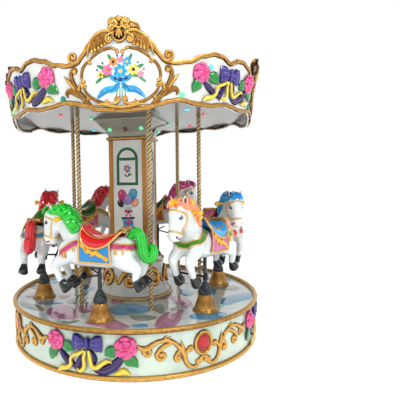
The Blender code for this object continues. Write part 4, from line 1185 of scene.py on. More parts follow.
def bellForm():
    profile = np.array(guides["bell"])
    outer = profile[:, 0] > 0.03
    ribs = np.cos(guides["bellRibs"] * turns(guides["bellSides"]))
    ribs = ribs[None] * np.where(outer, guides["bellRibDepth"], 0)[:, None]
    ribs *= np.clip((0.118 - profile[:, 1]) / 0.09, 0, 1)[:, None]
    # painted shade: darker in the grooves between the ribs and lighter on them, in bands up the bell
    tones = np.clip(0.55 + ribs * 18 + 0.15 * np.sin(profile[:, 1] * 60)[:, None], 0, 1)
    return turnedRing(profile, guides["bellSides"], tones.T, 1 + ribs)


def bootForm():  # creased by a few waves with random starts
    profile = np.array(guides["boot"])
    pick = np.random.default_rng(guides["seed"])
    creases = np.zeros((len(profile), guides["bootSides"]))
    for wave in guides["creases"]:
        start = 6.28 * pick.random((len(profile), 1))
        creases += 0.035 / wave ** 0.4 * np.sin(wave * turns(guides["bootSides"])[None] + start)
    creases *= (profile[:, 0] > 0.018)[:, None] * (profile[:, 1] > 0.001)[:, None]
    creases = np.minimum(creases, guides["creaseDepth"])
    # painted shade: the creases' shading falls where the crease goes in
    return turnedRing(profile, guides["bootSides"], (0.5 + creases * 8).T, 1 + creases)


def gaiterCloth():
    # coated fabric gaiter, cinched round the rod: matt and creased, darker in the creases as painted shade and lighter
    # grey on the ridges of the folds
    cloth, tree, shader = newMaterial("gaiterCoatedFabric", "3a4046", 0.55)
    tree.links.new(ramp(tree, shadingOf(tree), ((0.2, "1e2226"), (0.8, "5c646a"))), shader.inputs["Base Color"])
    bump(tree, shader, patternNoise(tree, 7, detail=3), 0.6, 0.003)
    return cloth


def buildGuides():
    spot = np.array(around(machine["drumPhase"], machine["horseCircle"], machine["deckTop"]))
    for name, form, lift, material, slot, node, sharp in (
            ("guide_bells", bellForm(), 0.0, bellGold, "gold_paint", "bell", 70),
            ("rod_boots", bootForm(), guides["bootSeat"], gaiterCloth(), "boot_rubber", "boot", 50)):
        first = Form().add(form, lambda p: p + spot + (0, 0, lift))
        nodes = [f"{node}_{i + 1}" for i in range(machine["seats"])]
        repeated(name, first, machine["seats"], material, "turntable", slot, nodes, sharp)


buildGuides()
print("bells and boots built")


# Column, its foot, cornice and capital


column = {
    "half": 0.163, "turn": -18.5, "bottom": 0.651, "top": 1.675, "corner": 0.006, "rows": 5,
    "strip": 0.031, "stripThick": 0.004, "stripRows": 9, "corniceCorner": 0.010, "capitalCorner": 0.014,
    "cornice": ((1.6745, 0.165), (1.675, 0.172), (1.679, 0.180), (1.685, 0.185), (1.692, 0.186), (1.698, 0.183),
                (1.702, 0.176), (1.7045, 0.170), (1.705, 0.166)),
    # painted shade and highlight across the cornice profile: brightest on its most projecting bead, darker in the coves
    "corniceTones": (0.3, 0.4, 0.6, 0.8, 1, 0.9, 0.6, 0.4, 0.3),
    "capital": ((1.705, 0.168), (1.722, 0.173), (1.740, 0.180), (1.757, 0.189), (1.775, 0.205), (1.795, 0.222),
                (1.812, 0.236), (1.826, 0.246), (1.8335, 0.2495), (1.834, 0.250), (1.8355, 0.261), (1.837, 0.262),
                (1.8510, 0.268), (1.8527, 0.267)),
    "foot": ((0.318, 0.333), (0.318, 0.345), (0.316, 0.363), (0.296, 0.405), (0.281, 0.460), (0.270, 0.525),
             (0.262, 0.580), (0.255, 0.628)),
    "footStart": (0.2, 0.3335), "footEnd": ((0.249, 0.632), (0.2, 0.632)), "footSides": 128,
    "ring": ((0.338, 0.3335), (0.338, 0.347), (0.334, 0.355), (0.327, 0.359), (0.320, 0.3605), (0.3185, 0.352),
             (0.3185, 0.3335)),
    # painted shade and highlight down the ring and the wavy trim: brightest on their upper outer curve, darker in the
    # tucks below
    "ringTones": (0.3, 0.6, 0.9, 1, 0.7, 0.3, 0.2), "trimTones": (0.3, 0.8, 1, 0.9, 0.6, 0.3, 0.2, 0.2),
    "trim": ((0.2495, 0.6325, 0), (0.256, 0.640, 1), (0.262, 0.644, 0.5), (0.2655, 0.639, 1), (0.2655, 0.630, 1),
             (0.2615, 0.624, 1), (0.2545, 0.624, 1), (0.2495, 0.627, 0)),  # radius, height, share of the wave
    "trimTop": 0.6505,
    "scroll": ((-0.068, 0.022), (-0.074, 0.006), (-0.070, -0.016), (-0.056, -0.032), (-0.038, -0.024),
               (-0.014, 0.022), (0.020, 0.052), (0.052, 0.048), (0.075, 0.018), (0.072, -0.024)),
    "scrollEye": (0.036, -0.010), "scrollWidth": (0.008, 0.019, 0.011), "scrollSize": 1.2,
    "scrollAt": -18.6, "scrollHeight": 0.500, "scrolls": 8,
}


def footRadius(height):
    table = np.array(column["foot"])[1:]
    return np.interp(height, table[:, 1], table[:, 0])


def squareSection(half, corner, height, count=10):  # a rounded square, turned as the column stands
    points = []
    for quarter in range(4):
        for t in np.linspace(0, math.pi / 2, count // 2):
            a = t + quarter * math.pi / 2
            centre = half - corner
            cx = centre * (1 if quarter in (0, 3) else -1)
            cy = centre * (1 if quarter in (0, 1) else -1)
            points.append((cx + corner * math.cos(a), cy + corner * math.sin(a)))
    points = np.array(points)
    turn = math.radians(column["turn"])
    c, s = math.cos(turn), math.sin(turn)
    return np.column_stack([points[:, 0] * c - points[:, 1] * s, points[:, 0] * s + points[:, 1] * c,
                            np.full(len(points), height)])


def onFace(face, out=0.0):  # a drawing (right, height, outwards) put on one face of the column
    turn = math.radians(column["turn"] + 90 * face)

    def move(points):
        far = column["half"] + out + points[:, 2]
        u = points[:, 0]
        return np.column_stack([u * math.cos(turn) + far * math.sin(turn), u * math.sin(turn) - far * math.cos(turn),
                                points[:, 1]])
    return move


def buildColumn():
    heights = np.linspace(column["bottom"], column["top"], column["rows"])
    form = Form().loft([squareSection(column["half"], column["corner"], z) for z in heights])
    piece("column_body", form, columnWhite, "turntable", "white_gelcoat", ["column_shaft"])
    strips = Form()
    h, w, t = column["half"], column["strip"], column["stripThick"]
    ring = np.array([(h - w, 0.0), (h - w + 0.002, t), (h - 0.002, t), (h + t - 0.001, t - 0.001), (h + t, -0.002),
                     (h + t, -w - 0.002), (h, -w - 0.004), (h - 0.003, -0.003)])
    for side in range(4):
        strips.loft([onFace(side)(np.column_stack([ring[:, 0], np.full(len(ring), z), ring[:, 1]]))
                     for z in np.linspace(column["bottom"], column["top"], column["stripRows"])], 0.55)
    piece("column_corner_strips", strips, stripGold, "turntable", "gold_paint")
    rings = [squareSection(half, column["corniceCorner"], z) for z, half in column["cornice"]]
    cornice = Form().loft(rings, np.array(column["corniceTones"])[:, None])
    piece("cornice_moulding", cornice, gold, "turntable", "gold_paint", ["column_cornice"])
    profile = [*smoothLine(column["capital"][:9], 30), *column["capital"][9:]]
    form = Form().loft([squareSection(half, column["capitalCorner"], z) for z, half in profile])
    piece("capital_body", form, capitalWhite, "turntable", "white_gelcoat", ["capital"])


def footScroll():
    line, eye, steps = column["scroll"], column["scrollEye"], 40
    path = np.vstack([smoothLine(line, steps), curl(line[-1], eye, -1.15, 0.12, steps)[1:]])
    low, high, end = column["scrollWidth"]
    wide = np.concatenate([ease(low, high, steps // 2), np.full(steps // 2, high), ease(high, end, steps - 1)])
    form = Form()
    lay(form, flat(path), wide, wide * 0.75, sides=14, under=0.3)
    return ball(form, (*eye, 0.004), (0.012, 0.012, 0.012))


def buildFoot():
    sides = column["footSides"]
    profile = [column["footStart"], *column["foot"][:2], *smoothLine(column["foot"][2:], 30), *column["footEnd"]]
    piece("foot_body", turnedRing(profile, sides), columnWhite, "turntable", "white_gelcoat", ["column_foot"])
    form = turnedRing(column["ring"], sides, column["ringTones"])
    piece("foot_ring_bead", form, paleGold, "turntable", "gold_paint", ["foot_ring"], sharp=50)
    rows = []
    for a in turns(sides):  # the wavy trim
        wave = 0.007 * math.cos(8 * a) + 0.003 * math.cos(16 * a + 1)
        rows.append([(r * math.cos(a), r * math.sin(a), min(z + wave * share, column["trimTop"]))
                     for r, z, share in column["trim"]])
    form = Form().loft(rows, column["trimTones"], ring=True)
    piece("foot_wavy_trim", form, paleGold, "turntable", "gold_paint", ["foot_collar"], sharp=60)
    scroll = Form().add(footScroll(), placed(0, column["scrollHeight"], 0.001, size=column["scrollSize"]))
    scroll = bent(scroll, column["scrollAt"], footRadius, flared=True)
    repeated("foot_scrolls", scroll, column["scrolls"], gold, "turntable", "gold_paint")


def paintedPatch(form, outline, lift=0.0, thick=0.0007):  # a flat shape of paint, as thick as a few coats
    outline = np.asarray(outline, float)
    centre = outline.mean(0)
    small = centre + (outline - centre) * 0.985
    return form.loft([flat(outline, lift - 0.0006), flat(outline, lift + thick * 0.7), flat(small, lift + thick)])


def oval(u, v, a, b, turn=0.0, count=24):
    t = turns(count)
    c, s = math.cos(math.radians(turn)), math.sin(math.radians(turn))
    x, y = a * np.cos(t), b * np.sin(t)
    return np.column_stack([u + x * c - y * s, v + x * s + y * c])


def dab(form, lift, *shape):  # an oval brush mark: centre, half sizes, turn, steps
    return paintedPatch(form, oval(*shape), lift)


def paintedLine(form, line, width, lift=0.0, thick=0.0008, count=30):
    line = smoothLine(line, count)
    along = np.gradient(line, axis=0)
    along /= np.linalg.norm(along, axis=1, keepdims=True)
    side = np.column_stack([-along[:, 1], along[:, 0]]) * np.broadcast_to(width, (count,))[:, None]
    low, high = lift - 0.0006, lift + thick
    return form.loft([np.array([(*a, low), (*b, low), (*(b * 0.9 + c * 0.1), high), (*(a * 0.9 + c * 0.1), high)])
                      for a, b, c in zip(line + side, line - side, line)])


def paintedLayers(colours, prefix):  # one form and one brush enamel per colour
    forms = {key: Form() for key in colours}
    paints = {key: brushed(f"{prefix}{key.capitalize()}", *value) for key, value in colours.items()}
    return forms, paints


def brushed(name, colour, shade):
    # signwriter's enamel brushed on by hand: soft gloss, streaky along the stroke, thinner at the edges
    material, tree, shader = newMaterial(name, colour, 0.28, coat=0.35)
    streak = patternNoise(tree, 14, detail=4, stretch=(1, 1, 0.35))
    tree.links.new(ramp(tree, streak, ((0.3, shade), (0.6, colour))), shader.inputs["Base Color"])
    bump(tree, shader, patternNoise(tree, 3, stretch=(1, 1, 0.3)), 0.2, 0.0004)
    return material


columnPicture = {  # right, height on one face of the column
    "paints": {"leaf": ("17683a", "0d4a28"), "magenta": ("d23c86", "a42563"), "sky": ("3fa9c9", "2281a4"),
               "ink": ("2b2030", "17101c"), "peach": ("e9a98a", "cf8464"), "violet": ("9a86c6", "7561a6")},
    "archHalf": 0.0845, "archLow": 1.302, "archSpring": 1.515, "archLine": 0.0125,
    "flower": 1.432, "petals": 6, "petalReach": 0.021, "knot": (0.004, 1.060),
    "balloons": (  # centre, half sizes, turn, paint, level
        (-0.050, 1.205, 0.037, 0.046, 12, "magenta", 0.0), (0.048, 1.215, 0.036, 0.045, -12, "sky", 0.0),
        (0.000, 1.165, 0.033, 0.042, 0, "violet", 0.0004), (-0.066, 1.135, 0.026, 0.033, 22, "ink", 0.0),
        (0.066, 1.140, 0.027, 0.034, -20, "peach", 0.0)),
    "box": (  # paint, line, half width, level: the side, lid, ribbons and foot of the gift box
        ("sky", ((-0.046, 0.960), (0.0, 0.963), (0.048, 0.966)), 0.034, 0.0),
        ("ink", ((-0.058, 1.003), (0.0, 1.006), (0.060, 1.009)), 0.009, 0.0003),
        ("magenta", ((0.002, 1.012), (0.003, 0.962), (0.004, 0.929)), 0.009, 0.0008),
        ("magenta", ((-0.046, 0.960), (0.0, 0.963), (0.048, 0.966)), 0.006, 0.0007),
        ("ink", ((-0.060, 0.921), (0.0, 0.922), (0.064, 0.926)), 0.0045, 0.0002)),
}


def paintWindow(forms):  # arched window outline with a little flower behind the pane
    half, low, spring, line = (columnPicture[key] for key in ("archHalf", "archLow", "archSpring", "archLine"))
    middle = (low + spring) / 2
    arch = [(-half, low), (-half, middle), (-half, spring)]
    arch += [(half * -math.cos(t), spring + half * 1.02 * math.sin(t)) for t in np.linspace(0.2, math.pi - 0.2, 9)]
    arch += [(half, spring), (half, middle), (half, low)]
    paintedLine(forms["leaf"], arch, line, count=70)
    paintedLine(forms["leaf"], [(-half - line, low), (0, low - 0.001), (half + line, low)], line, 0.0002)
    paintedLine(forms["leaf"], [(-half, spring), (0, spring - 0.002), (half, spring)], line, 0.0002)
    heart, reach = columnPicture["flower"], columnPicture["petalReach"]
    for k in range(columnPicture["petals"]):
        turn = 360 / columnPicture["petals"] * k + 15
        u, v = reach * math.cos(math.radians(turn)), heart + reach * math.sin(math.radians(turn))
        dab(forms["sky" if k % 2 else "magenta"], 0.0003, u, v, 0.016, 0.010, turn, 16)
    dab(forms["peach"], 0.0008, 0, heart, 0.011, 0.011, 0, 14)
    paintedLine(forms["leaf"], [(0.004, 1.412), (0.010, 1.385), (0.002, 1.358)], 0.0032, 0.0002)
    dab(forms["leaf"], 0.0004, 0.024, 1.380, 0.018, 0.008, 35, 14)
    dab(forms["leaf"], 0.0004, -0.014, 1.372, 0.017, 0.007, 140, 14)


def paintBalloons(forms):  # tied together over a gift box
    x, y = knot = columnPicture["knot"]
    for u, v, a, b, turn, name, level in columnPicture["balloons"]:
        dab(forms["ink"], level, u, v, a + 0.003, b + 0.003, turn)
        if name != "ink":
            dab(forms[name], level + 0.0006, u, v, a, b, turn)
        shine = forms["magenta" if name == "peach" else "peach"]
        dab(shine, level + 0.0012, u - 0.012, v + 0.016, 0.006, 0.010, turn + 25, 12)
        paintedLine(forms["ink"], [(u, v - b), (u * 0.6 + x * 0.4, v * 0.5 + y * 0.5), knot], 0.0014, 0.0001)
    for side in (-1, 1):
        dab(forms["magenta"], 0.0006, x + side * 0.020, y + 0.003, 0.019, 0.011, side * 18, 18)
        end = [knot, (x + side * 0.012, 1.035), (x + side * 0.026, 1.022)]
        paintedLine(forms["magenta"], end, ease(0.003, 0.007, 30), 0.0005)
    dab(forms["ink"], 0.0014, x, y, 0.008, 0.008, 0, 14)
    for name, line, width, level in columnPicture["box"]:
        paintedLine(forms[name], line, width, level, count=16)


def buildColumnPaint():  # a stock fairground design, the same on each face
    forms, paints = paintedLayers(columnPicture["paints"], "columnPaint")
    paintWindow(forms)
    paintBalloons(forms)
    for key, form in forms.items():
        whole = Form()
        for side in range(4):
            whole.add(form, onFace(side))
        piece(f"column_painting_{key}", whole, paints[key], "turntable")


buildColumn()
buildFoot()
buildColumnPaint()
print("column built")


# Carved ornament shared by the drum and the crown: roses, leaves, bows, drapery


carvedPink = enamel("rosePinkEnamel", "ee5f9f", "a01c58", spread=0.6)
carvedGreen = enamel("leafGreenEnamel", "21a24a", "0a5424")
carvedPurple = enamel("bowPurpleEnamel", "4f3f9c", "1e1552")
carvedViolet = enamel("drapeVioletEnamel", "4b3178", "1d0e3e")
carvedYellow = enamel("ribbonGoldYellowEnamel", "f0dc4e", "b89a20")
garland = {  # round the middle of the bow: right, up, then half width; metres
    "bow": (0.104, 0.058), "knot": (0.017, 0.043),
    "roses": ((-0.251, -0.011, 0.064, 20), (0.264, -0.016, 0.069, -25)),
    "roseSize": 1.12, "leafSize": 1.36, "ribbonSize": 1.3,
    "leaves": (((-0.193, -0.030), (-0.150, -0.038), (-0.103, -0.066), 0.028),
               ((-0.240, -0.070), (-0.280, -0.105), (-0.303, -0.162), 0.025),
               ((0.208, -0.036), (0.165, -0.046), (0.124, -0.072), 0.028),
               ((0.240, -0.080), (0.300, -0.105), (0.345, -0.148), 0.027)),
    "swags": (((-0.222, -0.070, 0.014), (-0.190, -0.106, 0.025), (-0.150, -0.140, 0.028), (-0.108, -0.164, 0.022),
               (-0.070, -0.168, 0.012)),
              ((-0.014, -0.045, 0.010), (-0.038, -0.090, 0.018), (-0.066, -0.140, 0.024), (-0.086, -0.196, 0.028)),
              ((0.012, -0.045, 0.010), (0.034, -0.070, 0.018), (0.052, -0.105, 0.019), (0.044, -0.134, 0.016)),
              ((0.022, -0.130, 0.014), (0.050, -0.166, 0.024), (0.100, -0.184, 0.033), (0.160, -0.162, 0.036),
               (0.212, -0.116, 0.032), (0.250, -0.070, 0.018))),
    "ribbons": (((-0.020, -0.050, 0.008), (-0.062, -0.076, 0.012), (-0.102, -0.094, 0.011), (-0.124, -0.122, 0.010),
                 (-0.122, -0.156, 0.012), (-0.152, -0.186, 0.014), (-0.195, -0.196, 0.016), (-0.226, -0.222, 0.006)),
                ((-0.010, -0.050, 0.007), (-0.024, -0.104, 0.011), (-0.020, -0.160, 0.012), (-0.052, -0.196, 0.011),
                 (-0.074, -0.178, 0.004)),
                ((0.012, -0.046, 0.008), (0.020, -0.090, 0.012), (0.032, -0.146, 0.012), (0.062, -0.160, 0.014),
                 (0.108, -0.128, 0.013), (0.138, -0.110, 0.011), (0.172, -0.116, 0.004)),
                ((0.182, -0.204, 0.004), (0.216, -0.192, 0.016), (0.252, -0.180, 0.020), (0.296, -0.206, 0.004))),
}

rose = {  # in shares of its size
    "base": ((0.90, -0.04), (0.92, 0.10), (0.78, 0.30), (0.52, 0.42), (0.2, 0.46)),  # radius, height
    "layers": (  # petals, radius, half width, degrees of arc, height, lift, first petal's turn
        (6, 0.74, 0.30, 72, 0.30, 0.08, 0), (5, 0.52, 0.23, 86, 0.29, 0.24, 31),
        (4, 0.32, 0.17, 108, 0.26, 0.36, 10), (3, 0.15, 0.11, 140, 0.21, 0.46, 50)),
    "petalSteps": 10,
}


def roseForm(size):
    form = Form()
    turn = turns(30)
    wavy = size * (1 + 0.05 * np.cos(5 * turn))
    # painted shade: the base under the petals nearly dark
    form.loft([np.column_stack([r * wavy * np.cos(turn), r * wavy * np.sin(turn), np.full(30, w * size)])
               for r, w in rose["base"]], 0.05)
    count = rose["petalSteps"]
    t = np.linspace(-0.5, 0.5, count)
    shape = swell(0.35, 1.0, count, 0.7) * size
    for many, radius, wide, arc, tall, lift, phase in rose["layers"]:
        for k in range(many):
            a = np.radians(t * arc + 360 / many * k + phase)
            r = radius * (1 + 0.10 * t - 0.10 * (2 * t) ** 4) * size
            path = np.column_stack([r * np.cos(a), r * np.sin(a), np.full(count, lift * size)])
            rings, tones = sweep(path, wide * shape, tall * shape, sides=10, under=0.5)
            # painted shade: each petal darker on its inner side, lighter on its outer edge
            inner = np.clip((np.hypot(rings[..., 0], rings[..., 1]) / size - radius) / wide, -1, 1)
            form.loft(rings, np.clip(tones * (0.75 + 0.35 * inner), 0, 1))
    return ball(form, (0, 0, 0.50 * size), (0.10 * size, 0.10 * size, 0.14 * size), None, 6, 10, 0.7)


def leafForm(points, half, count=26):
    line = smoothLine(points, count)
    t = np.linspace(0, 1, count)
    teeth = 1 + 0.09 * np.abs(np.sin(5 * np.pi * t))
    wide = half * np.sin(np.pi * np.clip(t, 0.02, 0.99) ** 0.8) ** 0.75 * teeth + 0.001
    lift = 0.004 + 0.012 * np.sin(np.pi * t)
    form = Form()
    lay(form, flat(line, lift), wide, 0.010, sides=14, under=1.4, folds=2, depth=0.45)
    rib, width = flat(line[1:-2], lift[1:-2] + 0.006), ease(0.0022, 0.0008, count - 3)
    return lay(form, rib, width, 0.0020, shading=(0.9, 0.9), sides=8)


def bowForm(half, tall, knot):
    form = Form()
    t = np.linspace(0, 1, 30)
    for side in (-1, 1):
        path = np.column_stack([side * (0.008 + (half - 0.010) * t), 0.004 * t, 0.006 + 0.008 * np.sin(np.pi * t)])
        wide = tall * (0.22 + 0.76 * np.clip(t * 1.7, 0, 1) ** 0.8 - 0.04 * t)
        wide[-3:] *= (0.98, 0.93, 0.80)
        thick = 0.010 + 0.016 * np.sin(np.pi * np.clip(t, 0.0, 0.97))
        lay(form, path, wide, thick, sides=26, under=0.4, folds=3, depth=0.30)
        edge = [(side * half * 0.93, -tall * 0.86, 0.008), (side * half * 0.985, 0.004, 0.013),
                (side * half * 0.93, tall * 0.92, 0.008)]
        lay(form, smoothLine(edge, 18), 0.009, 0.015, sides=12, under=0.5)
    wide, high = knot
    line = smoothLine([(0, -high, 0.010), (0, 0, 0.016), (0, high, 0.010)], 14)
    return lay(form, line, swell(wide * 0.8, wide, 14), 0.020, sides=18, under=0.4, folds=2, depth=0.3)


def drape(form, table, tall, folds, lift=0.0, depth=0.45, count=32):
    line = smoothLine(table, count)
    high = tall * (0.55 + 0.45 * np.sin(np.pi * np.linspace(0, 1, count)))
    lay(form, flat(line[:, :2], lift), line[:, 2], high, sides=22, under=0.4, folds=folds, depth=depth)


def garlandForms(stretch=(1.0, 1.0)):
    su, sv = stretch
    roses, leaves, swags, ribbons = Form(), Form(), Form(), Form()
    for u, v, size, turn in garland["roses"]:
        form = roseForm(garland["roseSize"] * size * min(1.0, sv * 1.10))
        roses.add(form, placed(u * su, v * sv, 0.004, turn))
    for *points, half in garland["leaves"]:
        leaves.add(leafForm([(u * su, v * sv) for u, v in points], half * garland["leafSize"]))
    bow = bowForm(garland["bow"][0] * (0.95 if su > 1 else 1), garland["bow"][1], garland["knot"])
    for table in garland["swags"]:
        drape(swags, [(u * su, v * sv, w * sv) for u, v, w in table], 0.024, 3)
    for k, table in enumerate(garland["ribbons"]):  # the last one runs under the drapery
        table = [(u * su, v * sv, garland["ribbonSize"] * w * sv) for u, v, w in table]
        drape(ribbons, table, 0.012, 1, 0.004 if k == 3 else 0.016, 0.25)
    return {"roses": (roses, carvedPink), "leaves": (leaves, carvedGreen), "bows": (bow, carvedPurple),
            "drapes": (swags, carvedViolet), "ribbons": (ribbons, carvedYellow)}


def stem(form, points, widths, tall=1.0, spiral=None, lift=0.0, count=20, folds=0):
    # a tapering stem of leaf, with a spiral end if asked: its centre, windings and how far it stays open
    line = smoothLine(points, count)
    wide = np.interp(np.linspace(0, 1, count), np.linspace(0, 1, len(widths)), widths)
    if spiral:
        turned = curl(line[-1], *spiral)[1:]
        line = np.vstack([line, turned])
        wide = np.concatenate([wide, ease(wide[-1], wide[-1] * 0.75, len(turned))])
        end = wide[-1] * 1.5
        ball(form, (*turned[-1], lift + wide[-1] * 0.3), (end, end, end * tall), None, 6, 12, 1.0)
    sides = 14 if folds else 10
    return lay(form, flat(line, lift), wide, wide * tall, sides=sides, under=0.35, folds=folds, depth=0.35)


drumScroll = (  # the left half of the gold scroll beside a jewel: points, half widths, spiral end
    (((-0.470, 0.243), (-0.440, 0.222), (-0.405, 0.222), (-0.370, 0.246), (-0.325, 0.266), (-0.270, 0.268),
      (-0.222, 0.248), (-0.180, 0.205), (-0.150, 0.160)),
     (0.0098, 0.022, 0.0195, 0.0159, 0.0159, 0.0159, 0.0159, 0.0195, 0.0195), None),
    (((-0.440, 0.218), (-0.425, 0.196), (-0.412, 0.166)), (0.0122, 0.0195, 0.0085), None),
    (((-0.392, 0.215), (-0.385, 0.196), (-0.390, 0.178)), (0.0159, 0.0146, 0.0098), ((-0.400, 0.178), -0.7, 0.2)),
    (((-0.235, 0.255), (-0.275, 0.238), (-0.315, 0.215), (-0.342, 0.182)), (0.0122, 0.0171, 0.0171, 0.0159),
     ((-0.308, 0.170), 0.95, 0.18)),
    (((-0.300, 0.262), (-0.285, 0.280), (-0.272, 0.304)), (0.0122, 0.0146, 0.0037), None),
    (((-0.290, 0.270), (-0.262, 0.278), (-0.244, 0.290)), (0.0122, 0.0122, 0.0061), None),
    (((-0.175, 0.195), (-0.196, 0.176), (-0.214, 0.150)), (0.0122, 0.0159, 0.0146), ((-0.192, 0.140), 0.8, 0.2)),
    (((-0.150, 0.165), (-0.160, 0.205), (-0.172, 0.262)), (0.0159, 0.0159, 0.0024), None),
    (((-0.150, 0.150), (-0.130, 0.176), (-0.112, 0.196)), (0.0159, 0.0159, 0.0146), ((-0.098, 0.188), -0.7, 0.2)),
    (((-0.152, 0.170), (-0.142, 0.120), (-0.122, 0.082), (-0.094, 0.062), (-0.062, 0.062), (-0.036, 0.080)),
     (0.0195, 0.0195, 0.0171, 0.0159, 0.0146, 0.0122), ((-0.050, 0.090), 0.8, 0.2)),
    (((-0.002, 0.122), (-0.022, 0.112), (-0.030, 0.098)), (0.0122, 0.0159, 0.0122), ((-0.018, 0.095), 0.8, 0.2)),
)

jewel = {
    "height": 0.216, "steps": 60, "stoneSteps": 40,
    "frame": ((0.067, 0.077), 0.004, 0.011, 0.014, 14),  # oval, lift, half width, height, sides
    "bead": ((0.054, 0.063), 0.005, 0.004, 0.010, 10),
    "dome": ((1.0, 0.0), (1.0, 0.006), (0.9, 0.013), (0.66, 0.018), (0.3, 0.0205), (0.05, 0.021)),
}


def ovalRing(form, size, lift, width, tall, sides):  # a bead run round an upright oval
    ring = oval(0, jewel["height"], *size, 0, jewel["steps"])
    lay(form, flat(np.vstack([ring, ring[:2]]), lift), width, tall, sides=sides, under=0.5)


def cabochonGlass():
    # cast acrylic cabochon, red and clear, over a painted back
    glass, tree, shader = newMaterial("redAcrylicCabochon", "a8101c", 0.05, coat=0.6)
    depth = patternNoise(tree, 60, detail=1)
    tree.links.new(ramp(tree, depth, ((0.35, "7c0a14"), (0.65, "c41a20"))), shader.inputs["Base Color"])
    return glass


def drumFace(heights):
    return np.full(len(heights), drum["wallRadius"] - 0.001)


def buildDrumOrnament():
    for name, (form, paint) in garlandForms().items():
        form = bent(form, machine["drumPhase"], drumFace, v=drum["bowHeight"])
        repeated(f"drum_{name}", form, machine["quarters"], paint, "drum", "white_gelcoat")
    half, stone = Form(), Form()
    for points, widths, spiral in drumScroll:
        stem(half, points, widths, spiral=spiral)
    whole = bothHalves(half)
    ovalRing(whole, *jewel["frame"])
    ovalRing(whole, *jewel["bead"])
    whole = bent(whole, machine["drumPhase"] + machine["betweenQuarters"], drumFace)
    repeated("drum_gold_scrolls", whole, machine["quarters"], gold, "drum", "gold_paint")
    a, b = jewel["bead"][0]
    stone.loft([flat(oval(0, jewel["height"], a * r, b * r, 0, jewel["stoneSteps"]), w) for r, w in jewel["dome"]])
    stone = bent(stone, machine["drumPhase"] + machine["betweenQuarters"], drumFace)
    repeated("drum_jewels", stone, machine["quarters"], cabochonGlass(), "drum", "white_gelcoat")


buildDrumOrnament()
print("drum ornament built")


# The crown


crown = {
    "wall": 0.012, "base": 1.827, "baseRadius": 1.003, "lean": 0.15, "segments": 720,
    "top": ((0, 2.292), (4, 2.288), (8, 2.262), (11, 2.215), (13, 2.163), (16, 2.112), (20, 2.104), (25, 2.119),
            (31, 2.163), (36, 2.185), (40, 2.180), (45, 2.146)),  # degrees from a pediment's middle, height
    "bottom": ((0, 1.777), (9, 1.788), (14, 1.816), (18, 1.835), (22, 1.845), (30, 1.826), (36, 1.822), (41, 1.834),
               (45, 1.843)),
    "wallInset": (0.001, 0.006),  # below and above, under the mouldings
    "mouldings": (  # edge, inset, half width, height, depth in the wall, set out
        ("top", -0.013, 0.0165, 0.016, 1.35, -0.0012), ("bottom", 0.016, 0.0155, 0.014, 1.5, 0.004)),
    "bowHeight": 2.050, "garlandStretch": (1.05, 0.84), "crestSetBack": 0.006,
    "finial": (  # radius, height below its top, down to the ceiling
        (0.0, 0.0), (0.020, 0.0025), (0.040, 0.011), (0.058, 0.025), (0.071, 0.042), (0.0775, 0.060), (0.0785, 0.067),
        (0.0835, 0.070), (0.084, 0.077), (0.0825, 0.084), (0.076, 0.087), (0.060, 0.100), (0.046, 0.118),
        (0.040, 0.135), (0.036, 0.792), (0.042, 0.810), (0.056, 0.823), (0.080, 0.831), (0.104, 0.836),
        (0.110, 0.842), (0.110, 0.8615), (0.0, 0.8615)),
    "finialTop": 2.735,
}


def crownRadius(height):
    return crown["baseRadius"] + (height - crown["base"]) * crown["lean"]


def crownEdge(name, degrees):  # the height of an edge at angles measured from a pediment's middle
    table = crown[name]
    folded = np.abs((np.asarray(degrees, float) + 45) % 90 - 45)
    heights = np.zeros_like(folded)
    for (a, low), (b, high) in zip(table, table[1:]):
        inside = (folded >= a) & (folded <= b)
        t = (folded[inside] - a) / (b - a)
        heights[inside] = low + (high - low) * t * t * (3 - 2 * t)
    return heights


def pointOn(degrees, radius, height):  # degrees from the front pediment's middle, as arrays
    angle = np.radians(machine["crownPhase"] + np.asarray(degrees))
    return np.stack([radius * np.sin(angle), -radius * np.cos(angle), height], -1)


def buildCrownWall():
    degrees = 360 * np.arange(crown["segments"]) / crown["segments"]
    below, above = crown["wallInset"]
    low, high = crownEdge("bottom", degrees) + below, crownEdge("top", degrees) - above
    rows = []
    for inset, shares in ((0.0, (0, 0.25, 0.5, 0.75, 1)), (crown["wall"], (1, 0.5, 0))):
        for share in shares:
            z = low + (high - low) * share
            rows.append(pointOn(degrees, crownRadius(z) - inset, z))
    form = Form().loft(np.stack(rows, 1), ring=True)
    piece("crown_wall", form, crownWhite, "turntable", "white_gelcoat", ["canopy_crown"])
    mouldings = Form()
    for edge, inset, wide, tall, under, out in crown["mouldings"]:
        z = crownEdge(edge, degrees) + inset
        z = (np.roll(z, 1) + z + np.roll(z, -1)) / 3
        path, outwards = pointOn(degrees, crownRadius(z) + out, z), pointOn(degrees, 1.0, np.zeros_like(z))
        closed, facing = (np.vstack([line[-2:], line, line[:2]]) for line in (path, outwards))
        rings, tones = sweep(closed, wide, tall, facing, sides=14, under=under, folds=2, depth=0.32)
        mouldings.loft(rings[2:-2], np.clip(0.15 + tones[2:-2], 0, 1), ring=True)
    piece("crown_mouldings", mouldings, gold, "turntable", "gold_paint", sharp=50)


